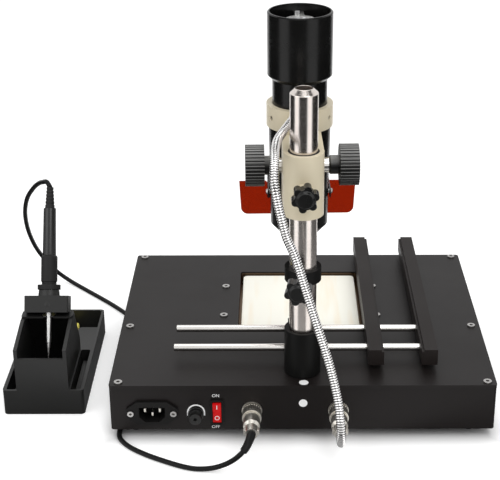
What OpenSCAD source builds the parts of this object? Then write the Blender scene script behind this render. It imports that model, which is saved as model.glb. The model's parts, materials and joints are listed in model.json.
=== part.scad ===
// Infrared rework station: a flat base box with a preheating plate, a round column that carries
// a focusing infrared lamp, a sliding board clamp on two rods, and a soldering iron in its stand.
// Millimetres. The origin is the middle of the base's footprint on the bench. -Y is the operator's
// side, +Y the rear panel, +X the operator's right, +Z up.

/* [Base] */
// Width of the base box, side to side
base_w = 360; // [340:1:420]
// Depth of the base box, front to rear
base_d = 288; // [286:1:340]
// Height of the rubber feet
foot_h = 10; // [8:0.5:16]
// Diameter of a rubber foot
foot_d = 14; // [12:0.5:20]
// Gap between the feet and the edges of the lid
foot_inset = 14.5; // [13:0.5:24]
// Height from the floor panel's underside to the lid's top face
case_h = 48; // [46:0.5:64]
// Thickness of the case's sheet metal
sheet_t = 1.5; // [1:0.1:2]
// Height of the lid's folded edges at the front and the rear
lip_h = 3.5; // [2.5:0.1:6]
// Corner radius of the lid
corner_r = 3; // [2.2:0.1:6]
// Distance of the lid screws from the front and rear edges of the lid
screw_inset = 6; // [5.8:0.1:10]
// Diameter of a case screw's head
screw_head_d = 7.8; // [7:0.1:9]
// Distance of the side screws behind the middle of the lid
side_screw_y = 27; // [-40:1:60]

/* [Heater] */
// Side of the square heating plate
heater_w = 120; // [100:1:124]
// Gap around the heating plate in the lid's window
heater_gap = 3; // [2:0.1:5]
// Distance of the heater's middle in front of the lid's middle
heater_front = 37; // [30:1:42]
// Depth of the heating plate's face below the lid
heater_sink = 3; // [2.5:0.1:5]
// Thickness of the heating plate
heater_t = 10; // [6:0.5:14]
// Spacing of the heater screws, side to side
heater_screw_w = 156; // [156:1:170]
// Spacing of the heater screws, front to rear
heater_screw_d = 66.5; // [50:0.5:90]

/* [Column] */
// Diameter of the polished column
column_d = 25; // [22:0.5:26]
// Wall of the column tube
column_wall = 5.5; // [4.8:0.1:6]
// Height of the column above the lid
column_h = 277.5; // [275:0.5:320]
// Distance of the column's axis from the lid's rear edge
column_inset = 29; // [27:0.5:30]
// Outer diameter of the column's foot socket
socket_d = 34; // [33:0.5:35]
// Height of the foot socket above the lid
socket_h = 46; // [30:1:50]
// Outer diameter of the stop collar
collar_d = 33.5; // [32:0.5:38]
// Height of the stop collar
collar_h = 13; // [10:0.5:18]
// Height of the stop collar's middle above the lid
collar_z = 102.5; // [101:0.5:108]
// Distance from the column's axis to the star of the collar's knob
collar_knob_out = 34; // [30:1:38]
// Turn of the collar and its knob about the column, from straight to the rear
collar_turn = -7; // [-30:1:30]

/* [Lamp holder] */
// Outer diameter of the holder's sleeve
holder_d = 36.5; // [35.5:0.5:42]
// Height of the holder's sleeve
holder_h = 59; // [57:1:62]
// Height of the sleeve's lower end above the lid
holder_z = 161; // [160:1:168]
// Wall of the bush between the sleeve and the column
bush_wall = 1.5; // [1:0.1:2]
// Width of the focusing block
block_w = 36; // [34:0.5:44]
// Distance from the column's axis to the focusing block's front face
block_reach = 51; // [50.8:0.1:51.5]
// Turn of the holder with its lamp about the column, from straight to the front
holder_turn = 1.5; // [-10:0.5:10]
// Diameter of a star knob over its lobes
star_d = 25; // [22:0.5:28]
// Thickness of a star knob
star_t = 11; // [8:0.5:14]
// Lobes of a star knob
star_lobes = 6; // [5:1:9]

/* [Focus drive] */
// Module of the rack and pinion
gear_module = 1; // [0.9:0.05:1.1]
// Teeth of the pinion
pinion_teeth = 12; // [11:1:13]
// Diameter of the pinion's shaft
shaft_d = 8; // [6:0.5:8]
// Diameter of a focus knob
focus_knob_d = 38; // [30:1:46]
// Thickness of a focus knob
focus_knob_t = 17.5; // [12:0.5:24]
// Gap between the two focus knobs
focus_knob_gap = 68; // [60:1:90]
// Ribs around a focus knob
focus_knob_ribs = 36; // [24:1:48]

/* [Lamp] */
// Distance from the column's axis to the lamp's axis
lamp_reach = 84; // [83.8:0.1:84.5]
// Outer diameter of the clamping ring
ring_d = 62; // [61:0.5:62.5]
// Height of the clamping ring
ring_h = 21; // [18:0.5:26]
// Height of the clamping ring's lower edge above the holder's lower end
ring_rise = 55.5; // [54:0.5:57]
// Outer diameter of the lamp's neck
neck_d = 51; // [48:0.5:52]
// Height of the neck showing above the ring
neck_h = 23.5; // [20:0.5:30]
// Outer diameter of the lamp's upper cup
cup_d = 60; // [58:0.5:64]
// Height of the upper cup
cup_h = 62.5; // [60:0.5:80]
// Outer diameter of the lamp's tube at the ring
tube_top_d = 58; // [57:0.5:59]
// Outer diameter of the lamp's tube above its nose
tube_end_d = 54.5; // [52:0.5:55]
// Length of the lamp's tube below the ring
tube_h = 106.5; // [102:0.5:109]
// Wall of the lamp's cup, neck and tube
lamp_wall = 2; // [1.5:0.1:2.2]

/* [Shield] */
// Width of the red shield
shield_w = 115; // [100:1:130]
// Height of the red shield
shield_h = 35; // [30:1:44]
// Thickness of the red shield
shield_t = 2; // [1.5:0.1:3]
// Height of the shield's pivots above the lamp's lower end
shield_pivot = 38.5; // [37:0.5:44]
// Distance from the lamp's axis to the shield's rear face
shield_out = 40; // [39:0.5:46]

/* [Board clamp] */
// Diameter of the guide rods
rod_d = 7; // [6:0.5:8]
// Length of the guide rods
rod_len = 249; // [240:1:252]
// Spacing of the two guide rods
rod_gap = 38.5; // [30:0.5:44]
// Gap between the rear rod and the column's socket
rod_clear = 3; // [1:0.1:5]
// Height of the rods' axes above the lid
rod_z = 11.5; // [11:0.1:14]
// Width of a clamp bar
bar_w = 14.8; // [14:0.1:18]
// Height of a clamp bar
bar_h = 16; // [14.5:0.5:20]
// Length of a clamp bar
bar_len = 261; // [240:1:270]
// Gap between a clamp bar and the lid
bar_lift = 5; // [4:0.1:6]
// Width of a clamp bar's board ledge
ledge_w = 2.2; // [1.5:0.1:7]
// Distance of the inner bar's middle from the column's axis
inner_bar_out = 69.5; // [64:0.5:72]
// Distance of the outer bar's middle from the column's axis
outer_bar_out = 120; // [119:0.5:121]
// Width of the rods' support block
rod_block_w = 26; // [20:0.5:28]

/* [Rear panel] */
// Height of the inlet and the switch above the bench, with the standard feet
inlet_z = 29; // [27:0.5:36]
// Distance of the mains inlet from the middle
inlet_x = 140.6; // [139:0.1:143]
// Distance of the fuse holder from the middle
fuse_x = 99.8; // [98:0.1:102]
// Height of the fuse holder below the inlet
fuse_drop = 2; // [0:0.1:5]
// Distance of the mains switch from the middle
switch_x = 80; // [78:0.1:83]
// Distance of the iron's socket from the middle
iron_socket_x = 47.3; // [45:0.1:55]
// Distance of the lamp's socket from the middle, on the other side
lamp_socket_x = 33.3; // [30:0.1:35]
// Height of the two round sockets above the inlet
socket_rise = 2; // [0:0.1:4]
// Diameter of the round sockets' barrels
barrel_d = 15.6; // [14:0.1:16]
// Length of a round plug outside the panel
plug_len = 42; // [40:0.5:60]
// Diameter of a plug's coupling ring
plug_ring_d = 18; // [17.6:0.1:22]

/* [Front panel] */
// Width of the control panel
panel_w = 220; // [212:1:300]
// Height of the control panel
panel_h = 34; // [30:0.5:36]
// Width of a display
display_w = 46; // [36:0.5:50]
// Height of a display
display_h = 20; // [14:0.5:22]
// Diameter of a push button
button_d = 9; // [6:0.1:10]
// Travel of a push button
button_travel = 1.5; // [1:0.1:2]
// Diameter of the iron's temperature dial
dial_d = 24; // [18:0.5:28]

/* [Iron stand] */
// Width of the iron stand
stand_w = 78.5; // [76:0.5:90]
// Depth of the iron stand
stand_d = 171.5; // [168:0.5:190]
// Gap between the base and the stand
stand_gap = 31; // [28:1:60]
// Distance of the stand's rear face from the base's rear edge
stand_rear = 45; // [40:1:60]
// Height of the tray's walls
tray_h = 26.5; // [24:0.5:30]
// Wall of the stand
stand_wall = 2.5; // [2:0.1:3]
// Width of the stand's tower
tower_w = 50.5; // [50:0.5:54]
// Depth of the stand's tower
tower_d = 84; // [80:1:90]
// Height of the tower's rear wall
tower_h = 61; // [50:0.5:66]
// Height of the tower's side walls at the receptacle
tower_top = 79; // [76:0.5:84]
// Thickness of the sponge
sponge_t = 11; // [6:0.5:14]

/* [Soldering iron] */
// Lean of the iron from upright
iron_lean = 28; // [24:0.5:32]
// Diameter of the iron's front flange
flange_d = 22.5; // [20:0.5:24]
// Diameter of the iron's grip
grip_d = 16; // [14:0.5:18]
// Length of the iron's grip with its flange
grip_len = 34; // [28:0.5:44]
// Diameter of the handle at the grip
handle_d = 13.2; // [11:0.1:14]
// Diameter of the handle at its tail
handle_end_d = 12.2; // [10:0.1:12.6]
// Length of the handle behind the grip
handle_len = 47; // [40:1:60]
// Length of the strain relief
tail_len = 21; // [20:0.5:22]
// Diameter of the heated barrel
barrel_tube_d = 5.4; // [5:0.1:8]
// Length of the heated barrel
barrel_tube_len = 52; // [40:1:56]
// Length of the soldering tip
tip_len = 18; // [12:0.5:22]

/* [Leads] */
// Diameter of the iron's lead
iron_cord_d = 4.8; // [4.5:0.1:6]
// Diameter of the lamp's armoured hose
hose_d = 8.2; // [6:0.1:8.6]

/* [Hidden] */
$fn = 48;

// Clearances: fixed seams, running fits, sliding faces and free air
seam = 0.2;
run_fit = 0.05;
slide_gap = 0.15;
air = 0.3;
cut = 1;

// Colours
case_black = [0.17, 0.165, 0.16];
plastic_black = [0.08, 0.08, 0.08];
cream = [0.84, 0.8, 0.7];
steel = [0.78, 0.78, 0.77];
nickel = [0.72, 0.7, 0.66];
ceramic = [0.95, 0.92, 0.83];
rubber_black = [0.1, 0.1, 0.1];

// Base
lid_z = foot_h + case_h;
floor_z = foot_h + sheet_t;
chassis_w = base_w;
chassis_d = base_d - 2 * (sheet_t + seam);
chassis_top = lid_z - sheet_t;
wall_y = chassis_d / 2;
inner_corner_r = corner_r - sheet_t;
tab_t = 2.5;
tab_w = 16;
screw_d = 4;
screw_head_t = 1.4;
screw_len = 7;
foot_x = base_w / 2 - foot_inset - foot_d / 2;
foot_y = base_d / 2 - foot_inset - foot_d / 2;
screw_side = 2.5;
screw_x = base_w / 2 - screw_inset - screw_side;
screw_y = base_d / 2 - screw_inset;
lid_screws = [for (x = [-screw_x, screw_x], y = [-screw_y, side_screw_y, screw_y]) [x, y]];

// Heater
heater_y = -heater_front;
window_w = heater_w + 2 * heater_gap;
pan_wall = 1.2;
pan_rim = 6;
pan_w = window_w + 2 * pan_wall;
pan_flange_w = heater_screw_w + 2 * pan_rim;
pan_top = chassis_top;
pan_floor = lid_z - heater_sink - heater_t - pan_wall;
heater_screw_shift = 7;
heater_screws = [for (x = [-1, 1], y = [-1, 1])
    [x * heater_screw_w / 2, heater_y + heater_screw_shift + y * heater_screw_d / 2]];

// Column, collar and holder
column_y = base_d / 2 - column_inset;
column_r = column_d / 2;
column_top = lid_z + column_h;
spigot_d = column_d - 2 * column_wall;
stud_d = 6;
collar_mid = lid_z + collar_z;
holder_low = lid_z + holder_z;
holder_top = holder_low + holder_h;
bush_r = column_r + run_fit + bush_wall;
holder_bore_r = bush_r + run_fit;
block_y = column_y - block_reach;
knob_shank_d = 11;
holder_knob_z = holder_low + 27;
holder_boss_out = holder_d / 2 + 5;
collar_boss_out = collar_d / 2 + 6;

// Focus drive
lamp_y = column_y - lamp_reach;
pitch_r = gear_module * pinion_teeth / 2;
tooth_pitch = PI * gear_module;
tooth_tip = gear_module;
tooth_root = 1.25 * gear_module;
pinion_w = 10;
pinion_y = column_y - 34;
pinion_z = holder_low + 33;
rack_line = pinion_y - pitch_r;
rack_face = rack_line - tooth_root;
rack_w = 10;
rack_slot = 2.5;
rack_len = 56;
slide_front = lamp_y + ring_d / 2 - 0.5;
slide_back = rack_face - 0.75;
slide_neck_y = slide_back - 7;
slide_neck_w = 18;
slide_w = 26;
slide_len = 47;
shaft_collar_d = 14;
shaft_collar_t = 6;
focus_hub_d = 17.5;
focus_hub_chamfer = 1.5;

// Lamp
ring_low = holder_low + ring_rise;
ring_top = ring_low + ring_h;
cup_low = ring_top + neck_h;
cup_top = cup_low + cup_h;
cup_floor = 4;
neck_low = ring_low - 12;
tube_low = ring_low - air - tube_h;
tube_top = ring_low - air;
tube_nose = 8;
nose_d = 40;
lens_d = tube_end_d - 2 * lamp_wall - 1.5;
lens_t = 6;
lens_z = tube_low + 11;
bulb_mouth_d = cup_d - 2 * lamp_wall - 7;
bulb_z = cup_low + cup_floor;
bulb_h = 24;
bulb_base_h = 26;
bulb_base_w = 16;
clip_z = bulb_z + bulb_h + bulb_base_h;
clip_t = 1;
clip_tab = 8;
gland_z = ring_top + 12;
gland_d = 10;
gland_len = 12;
gland_y = lamp_y + neck_d / 2 + 0.2;

// Shield
pivot_z = tube_low + shield_pivot;
pivot_d = 4;
arm_t = 1.2;
arm_h = 8;
arm_gap = 0.85;
function tube_r(rise) = tube_end_d / 2
    + (tube_top_d - tube_end_d) / 2 * (rise - tube_nose) / (tube_h - tube_nose);
arm_in = max(tube_r(shield_pivot - arm_h / 2), tube_r(shield_pivot + arm_h / 2)) + arm_gap;
arm_out = arm_in + arm_t;
shield_y = lamp_y - shield_out;
shield_top = pivot_z - 5;
shield_notch_d = 9;
shield_corner_r = 7;
shield_taper = 1.5;

// Board clamp
rod_axis_z = lid_z + rod_z;
rear_rod_y = column_y - socket_d / 2 - rod_clear - rod_d / 2;
rod_rows = [rear_rod_y - rod_gap, rear_rod_y];
rod_shift = -2;
bar_low = lid_z + bar_lift;
bar_tail = 23.5;
bar_front = rear_rod_y + bar_tail - bar_len;
ledge_drop = 2.1;
ledge_h = bar_h - ledge_drop;

// Rear and front panels
panel_base = inlet_z - 10;
rear_z = foot_h + panel_base;
fuse_z = rear_z - fuse_drop;
round_z = rear_z + socket_rise;
inlet_w = 27;
inlet_h = 20;
inlet_deep = 16;
inlet_flange_w = 48;
inlet_flange_top = 28;
inlet_ear_h = 9;
inlet_screw_head_d = 6;
inlet_flange_h = 24;
inlet_flange_t = 3;
inlet_screw_gap = 40;
inlet_mouth_w = 24.2;
inlet_mouth_h = 15.6;
inlet_mouth_drop = 1.6;
inlet_mouth_deep = 13;
fuse_d = 12.4;
fuse_cap_d = 12.6;
fuse_flange_d = 15;
fuse_flange_t = 2.5;
fuse_bore_d = 9.6;
switch_w = 10.6;
switch_h = 25;
switch_bezel = 0.9;
rocker_w = 8;
rocker_h = 21.4;
rocker_pivot = 3;
rocker_tilt = 8;
socket_flange_d = 19;
socket_flange_t = 2.2;
barrel_out = 10;
plug_neck_d = 13;
plug_shell_d = 15.5;
plug_lip = 2.4;
boot_d = 8.6;
boot_end_d = 7;
ring_start = socket_flange_t + 0.8;
ring_end = barrel_out + 5.2;
panel_t = 1.2;
front_z = foot_h + 23;
display_x = [-68, -10];
button_x = [34, 50, 66];
button_pull = 2.5;
button_flange = 1.2;
dial_x = 92;
dial_t = 13;
dial_shaft_d = 6;

// Iron stand and iron
stand_x = base_w / 2 + stand_gap + stand_w / 2;
stand_back = base_d / 2 - stand_rear;
stand_front = stand_back - stand_d;
tower_front = stand_back - tower_d;
tower_wall = 3.5;
iron_side = 1.2;
iron_x = stand_x - iron_side;
receptacle_w = tower_w - 2 * tower_wall - 2 * air;
receptacle_h = 16.5;
receptacle_d = 22;
receptacle_sink = 6;
funnel_h = 16;
seat_rise = 23;
seat_depth = 67;
foot_depth = 56;
foot_len = 12;
tower_knee = tray_h + 13.5;
barrel_way = 40;
receptacle_y = stand_back - foot_depth;
seat_z = tower_top + seat_rise;
seat_y = stand_back - seat_depth;
iron_bore_d = 13;
funnel_d = 19;
shelf_w = 21.5;
shelf_h = 20;
shelf_len = 56;
sponge_gap = 2;
sponge_w = stand_w - 2 * stand_wall - shelf_w - 2 * sponge_gap;
sponge_d = 62;
sponge_x = stand_x + shelf_w / 2;
sponge_inset = 40;
sponge_y = stand_front + sponge_inset;
ridge_w = 4;
ridge_h = 18;
flange_t = 5;
core_z = 6;
barrel_root = 20;
handle_z = grip_len;
tail_z = grip_len + handle_len;
tail_d = 9.6;
tail_lip = 1;
nose_len = 9;
cord_hole_d = iron_cord_d + 2 * seam;

// Routes of the two leads, from the rear panel outwards
plug_end = wall_y + plug_len;
iron_route = [[iron_socket_x, plug_end, round_z], [48, 189.5, 30.9], [49.5, 195, 29.6], [52.3, 200.5, 26.5],
    [57, 203.5, 22], [63, 203.5, 16.4], [71, 201, 10], [82, 198.5, 4.6], [96, 197, 2.6], [109, 193.5, 2.6],
    [127, 184.5, 2.6], [146, 173, 2.6], [162, 160, 2.6], [171.5, 146, 2.6], [173.5, 130, 2.6],
    [173.5, 105, 2.6], [173.5, 75, 2.6], [173.5, 45, 2.6], [173.5, 15, 2.6], [173.5, -15, 2.6],
    [173.5, -45, 2.6], [175, -70, 2.6], [181, -91, 2.6], [194, -110, 2.6], [210, -130, 2.6],
    [227, -149, 2.6], [252, -176, 2.6], [268, -191, 4.5], [282, -193, 15], [292.5, -184, 34],
    [299, -165, 60], [301, -143, 90], [297.5, -118, 121], [288.5, -92, 149], [276, -68, 170.5],
    [265.5, -46, 184.5]];
hose_route = [[-lamp_socket_x, plug_end, round_z], [-33.3, 196, 31.3], [-33, 207, 36.5], [-32.5, 213.5, 48],
    [-31.5, 214.5, 62], [-29, 209, 82], [-21.5, 199.5, 112], [-12, 190, 141], [-2, 181.5, 171],
    [8, 175, 203], [15.0, 173.5, 219.3], [17.5, 173.0, 228.4], [19.6, 172.0, 237.2], [21.7, 170.5, 245.7],
    [23.4, 168.5, 253.9], [25.0, 166.0, 262.0], [25.8, 161.5, 269.2], [25.7, 155.0, 275.7], [25.4, 145.5, 281.1],
    [24.9, 133.0, 285.6], [22.8, 118.5, 289.4], [16.6, 103.0, 293.1], [7.6, 88, 300.5]];

// A point turned about the column's axis
function around(p, turn) = [0, column_y, p.z] + [p.x * cos(turn) - (p.y - column_y) * sin(turn),
    p.x * sin(turn) + (p.y - column_y) * cos(turn), 0];

module about_column(turn) {
    translate([0, column_y, 0]) rotate(turn) translate([0, -column_y, 0]) children();
}

module rounded_rect(w, d, r) {
    square([w - 2 * r, d], center = true);
    square([w, d - 2 * r], center = true);
    for (x = [-1, 1], y = [-1, 1])
        translate([x * (w / 2 - r), y * (d / 2 - r)]) circle(r);
}

module plate(w, d, h, r) {
    linear_extrude(h) rounded_rect(w, d, r);
}

module tube(d_out, d_in, h) {
    difference() {
        cylinder(d = d_out, h = h);
        translate([0, 0, -cut]) cylinder(d = d_in, h = h + 2 * cut);
    }
}

// Local z points out of the rear wall, local y up
module on_rear(x, z) {
    translate([x, wall_y, z]) rotate([90, 0, 180]) children();
}

// Local z points out of the front wall, local y up
module on_front(x, z) {
    translate([x, -wall_y, z]) rotate([90, 0, 0]) children();
}

// Local z along +Y, away from the column, at height z
module behind_column(z) {
    translate([0, column_y, z]) rotate([-90, 0, 0]) children();
}

// Local z along the iron, from the flange's underside to the lead
module along_iron() {
    translate([iron_x, seat_y, seat_z]) rotate([iron_lean, 0, 0]) children();
}

module wall_cut_round(d) {
    translate([0, 0, -sheet_t - cut]) cylinder(d = d, h = sheet_t + panel_t + 3 * cut);
}

module wall_cut_rect(w, h) {
    translate([-w / 2, -h / 2, -sheet_t - cut]) cube([w, h, sheet_t + panel_t + 3 * cut]);
}

// Points between the route's own points, on a smooth curve through them
function curve_point(p, i, t) = let (
    a = p[max(i - 1, 0)], b = p[i], c = p[i + 1], d = p[min(i + 2, len(p) - 1)])
    0.5 * (2 * b + (c - a) * t + (2 * a - 5 * b + 4 * c - d) * t * t
        + (3 * b - a - 3 * c + d) * t * t * t);
function curve(p, steps) = concat(
    [for (i = [0 : len(p) - 2], k = [0 : steps - 1]) curve_point(p, i, k / steps)],
    [p[len(p) - 1]]);
function unit(v) = v / norm(v);
function heading(p, i) = unit(p[min(i + 1, len(p) - 1)] - p[max(i - 1, 0)]);
function ring_points(centre, along, side, r, sides) = let (
    u = unit(cross(along, side)), v = cross(u, along))
    [for (k = [0 : sides - 1]) centre + r * (cos(360 * k / sides) * u + sin(360 * k / sides) * v)];

// Round rod along the points, from one diameter to another, with its first and last faces square to the given ways
module sweep(points, d, first, last, side, sides = 10, end_d = 0) {
    n = len(points);
    thin = end_d > 0 ? end_d : d;
    rings = [for (i = [0 : n - 1])
        ring_points(points[i], i == 0 ? first : i == n - 1 ? last : heading(points, i),
            side, (d + (thin - d) * i / (n - 1)) / 2, sides)];
    sides_faces = [for (i = [0 : n - 2], k = [0 : sides - 1])
        let (a = i * sides + k, b = i * sides + (k + 1) % sides)
        [a, b, b + sides, a + sides]];
    polyhedron([for (ring = rings) each ring],
        concat(sides_faces, [[for (k = [sides - 1 : -1 : 0]) k],
            [for (k = [0 : sides - 1]) (n - 1) * sides + k]]), convexity = 6);
}

module case_screw(len, head_d) {
    socket_deep = screw_head_t + 1.6;
    difference() {
        union() {
            cylinder(d = head_d, h = screw_head_t);
            translate([0, 0, -len]) cylinder(d = screw_d, h = len);
        }
        translate([0, 0, screw_head_t - socket_deep]) cylinder(d = head_d * 0.46, h = socket_deep + cut, $fn = 6);
    }
}

module chassis() {
    color(case_black) difference() {
        union() {
            difference() {
                translate([0, 0, foot_h])
                    plate(chassis_w, chassis_d, chassis_top - foot_h, corner_r);
                translate([0, 0, floor_z])
                    plate(chassis_w - 2 * sheet_t, chassis_d - 2 * sheet_t, case_h, inner_corner_r);
            }
            for (p = lid_screws) lid_tab(p);
        }
        for (p = lid_screws)
            translate([p.x, p.y, chassis_top - tab_t - cut])
                cylinder(d = screw_d + 2 * seam, h = tab_t + 2 * cut);
        on_rear(inlet_x, rear_z) {
            wall_cut_rect(inlet_w + 2 * seam, inlet_h + 2 * seam);
            for (x = [-1, 1])
                translate([x * inlet_screw_gap / 2, 0, 0]) wall_cut_round(screw_d + 2 * seam);
        }
        on_rear(fuse_x, fuse_z) wall_cut_round(fuse_d + 2 * seam);
        on_rear(switch_x, rear_z) wall_cut_rect(switch_w + 2 * seam, switch_h + 2 * seam);
        for (x = [iron_socket_x, -lamp_socket_x])
            on_rear(x, round_z) wall_cut_round(barrel_d + 2 * seam);
        for (x = display_x)
            on_front(x, front_z) wall_cut_rect(display_w + 2 * seam, display_h + 2 * seam);
        for (x = button_x) on_front(x, front_z) wall_cut_round(button_d + 2 * button_flange + 2 * air);
        on_front(dial_x, front_z) wall_cut_round(dial_shaft_d + 2 * air);
        floor_vents();
    }
}

// A folded tab under the lid that takes one lid screw
module lid_tab(p) {
    reach = chassis_w / 2 - abs(p.x) + tab_w / 2;
    translate([p.x > 0 ? chassis_w / 2 - reach - sheet_t / 2 : -chassis_w / 2 + sheet_t / 2,
        min(max(p.y - tab_w / 2, -chassis_d / 2 + sheet_t / 2), chassis_d / 2 - tab_w - sheet_t / 2),
        chassis_top - tab_t])
        cube([reach, tab_w, tab_t]);
}

module floor_vents() {
    vent_w = 4;
    vent_len = 50;
    for (side = [-1, 1], k = [0 : 5])
        translate([side * base_w / 3 + (k - 2.5) * 3 * vent_w, -base_d / 4, foot_h - cut])
            linear_extrude(sheet_t + 2 * cut) rounded_rect(vent_w, vent_len, vent_w / 2 - 0.1);
}

module top_plate() {
    color(case_black) difference() {
        translate([0, 0, lid_z - lip_h]) plate(base_w, base_d, lip_h, corner_r);
        translate([-base_w, sheet_t - base_d / 2, lid_z - lip_h - cut])
            cube([2 * base_w, base_d - 2 * sheet_t, lip_h - sheet_t + cut]);
        translate([0, heater_y, lid_z - sheet_t - cut])
            plate(window_w, window_w, sheet_t + 2 * cut, heater_gap);
        for (p = concat(lid_screws, heater_screws))
            translate([p.x, p.y, lid_z - sheet_t - cut])
                cylinder(d = screw_d + 2 * seam, h = sheet_t + 2 * cut);
        translate([0, column_y, lid_z - sheet_t - cut])
            cylinder(d = spigot_d + 2 * seam, h = sheet_t + 2 * cut);
    }
}

module case_screws() {
    color(steel) {
        for (p = concat(lid_screws, heater_screws)) translate([p.x, p.y, lid_z]) case_screw(screw_len, screw_head_d);
        on_rear(inlet_x, rear_z)
            for (x = [-1, 1])
                translate([x * inlet_screw_gap / 2, 0, inlet_flange_t]) case_screw(screw_len + 1, inlet_screw_head_d);
    }
}

module feet() {
    color(rubber_black)
        for (x = [-foot_x, foot_x], y = [-foot_y, foot_y]) translate([x, y, 0]) difference() {
            cylinder(d1 = foot_d - 3, d2 = foot_d, h = foot_h);
            translate([0, 0, -cut]) cylinder(d = foot_d / 2, h = foot_h / 2);
        }
}

module heater_pan() {
    color(steel) translate([0, heater_y, 0]) difference() {
        union() {
            translate([0, 0, pan_floor]) plate(pan_w, pan_w, pan_top - pan_floor, heater_gap);
            translate([0, 0, pan_top - pan_wall])
                plate(pan_flange_w, pan_w + 2 * pan_rim, pan_wall, heater_gap);
        }
        translate([0, 0, pan_floor + pan_wall])
            plate(window_w, window_w, pan_top - pan_floor, heater_gap);
        for (p = heater_screws)
            translate([p.x, p.y - heater_y, pan_top - pan_wall - cut])
                cylinder(d = screw_d + 2 * seam, h = pan_wall + 2 * cut);
    }
}

module heater_plate() {
    color(ceramic) translate([0, heater_y, pan_floor + pan_wall]) plate(heater_w, heater_w, heater_t, 5);
}

// Ring-core transformer on the floor panel, held by a dished washer and a bolt
module transformer() {
    core_r = 16;
    winding_w = 30;
    winding_h = 34;
    color("goldenrod") translate([-base_w / 3.4, base_d / 5, floor_z]) {
        rotate_extrude() translate([core_r + winding_w / 2, winding_h / 2])
            rounded_rect(winding_w, winding_h, 7);
        cylinder(r = core_r + 1, h = 2);
        cylinder(r = 3, h = winding_h + 6);
        translate([0, 0, winding_h - 1]) cylinder(r1 = core_r + 4, r2 = core_r + 8, h = 2);
    }
}

// Power board on pillars, with a heat sink, relays and a terminal strip
module control_board() {
    board_w = 88;
    board_d = 116;
    board_t = 1.6;
    pillar_h = 8;
    board_x = base_w / 3;
    board_y = base_d / 14;
    sink_fins = 7;
    color("darkgreen") translate([board_x, board_y, floor_z]) {
        for (x = [-1, 1], y = [-1, 1])
            translate([x * (board_w / 2 - 5), y * (board_d / 2 - 5), 0]) cylinder(d = 6, h = pillar_h);
        translate([-board_w / 2, -board_d / 2, pillar_h]) cube([board_w, board_d, board_t]);
        translate([0, 0, pillar_h + board_t]) {
            translate([-30, 10, 0]) cube([44, 30, 4]);
            for (k = [0 : sink_fins - 1]) translate([-30 + k * 7, 10, 3]) cube([2, 30, 19]);
            for (k = [0 : 2]) translate([-36 + k * 24, -22, 0]) cube([15, 19, 15]);
            translate([-38, -52, 0]) cube([76, 9, 11]);
            translate([30, 20, 0]) cylinder(d = 14, h = 22);
        }
    }
}

// Six-sided outline, w wide over its ears of height ear and flat wide at the top and the bottom
module inlet_flange_outline(w, h, flat, ear) {
    polygon([for (p = [[-flat, -h], [flat, -h], [w, -ear], [w, ear], [flat, h], [-flat, h], [-w, ear], [-w, -ear]]) p / 2]);
}

module inlet_outline(w, h) {
    bevel = h / 2.8;
    polygon([[-w / 2, h / 2], [w / 2, h / 2], [w / 2, bevel - h / 2], [w / 2 - bevel, -h / 2],
        [bevel - w / 2, -h / 2], [-w / 2, bevel - h / 2]]);
}

module power_inlet() {
    color(plastic_black) on_rear(inlet_x, rear_z) difference() {
        union() {
            linear_extrude(inlet_flange_t)
                inlet_flange_outline(inlet_flange_w, inlet_flange_h, inlet_flange_top, inlet_ear_h);
            translate([0, 0, -inlet_deep]) plate(inlet_w, inlet_h, inlet_deep + cut, 1.5);
        }
        translate([0, -inlet_mouth_drop, -inlet_mouth_deep])
            linear_extrude(inlet_mouth_deep + inlet_flange_t + cut)
                inlet_outline(inlet_mouth_w, inlet_mouth_h);
        for (x = [-1, 1])
            translate([x * inlet_screw_gap / 2, 0, -cut])
                cylinder(d = screw_d + 2 * seam, h = inlet_flange_t + 2 * cut);
    }
}

module inlet_pins() {
    pin_t = 2;
    pin_h = 4;
    pin_out = 11;
    tail_out = 7;
    color(nickel) on_rear(inlet_x, rear_z - inlet_mouth_drop)
        for (p = [[-7, 2], [0, -2], [7, 2]]) {
            translate([p.x - pin_t / 2, p.y - pin_h / 2, -inlet_mouth_deep]) cube([pin_t, pin_h, pin_out]);
            translate([p.x - pin_h / 2, p.y - pin_t / 2, -inlet_deep - tail_out])
                cube([pin_h, pin_t, tail_out]);
        }
}

module fuse_holder() {
    flange_h = fuse_flange_t;
    body_len = 28;
    color(plastic_black) on_rear(fuse_x, fuse_z) difference() {
        union() {
            cylinder(d = fuse_flange_d, h = flange_h);
            translate([0, 0, -body_len]) cylinder(d = fuse_d, h = body_len + cut);
        }
        translate([0, 0, 2 - body_len]) cylinder(d = fuse_bore_d, h = body_len + flange_h);
    }
}

module fuse_cap() {
    shank_len = 18;
    cap_start = fuse_flange_t + air;
    cap_t = 8;
    key_d = 3.4;
    color(plastic_black) on_rear(fuse_x, fuse_z) difference() {
        union() {
            translate([0, 0, cap_start]) cylinder(d1 = fuse_cap_d, d2 = fuse_cap_d - 1.2, h = cap_t);
            translate([0, 0, -shank_len])
                cylinder(d = fuse_bore_d - 2 * run_fit, h = shank_len + cap_start + cut);
        }
        translate([0, 0, cap_start + cap_t - key_d]) cylinder(d = key_d, h = key_d + cut, $fn = 6);
    }
}

module switch_frame() {
    bezel_t = 2;
    body_deep = 18;
    pocket_deep = 11;
    color(plastic_black) on_rear(switch_x, rear_z) difference() {
        union() {
            plate(switch_w + 2 * switch_bezel, switch_h + 2 * switch_bezel, bezel_t, 1.2);
            translate([-switch_w / 2, -switch_h / 2, -body_deep]) cube([switch_w, switch_h, body_deep + cut]);
        }
        translate([-rocker_w / 2 - air, -rocker_h / 2 - 3 * air, -pocket_deep])
            cube([rocker_w + 2 * air, rocker_h + 6 * air, pocket_deep + bezel_t + cut]);
        translate([-switch_w / 2, 0, -rocker_pivot]) rotate([0, 90, 0])
            cylinder(r = 1.2 + run_fit, h = switch_w);
    }
}

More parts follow.
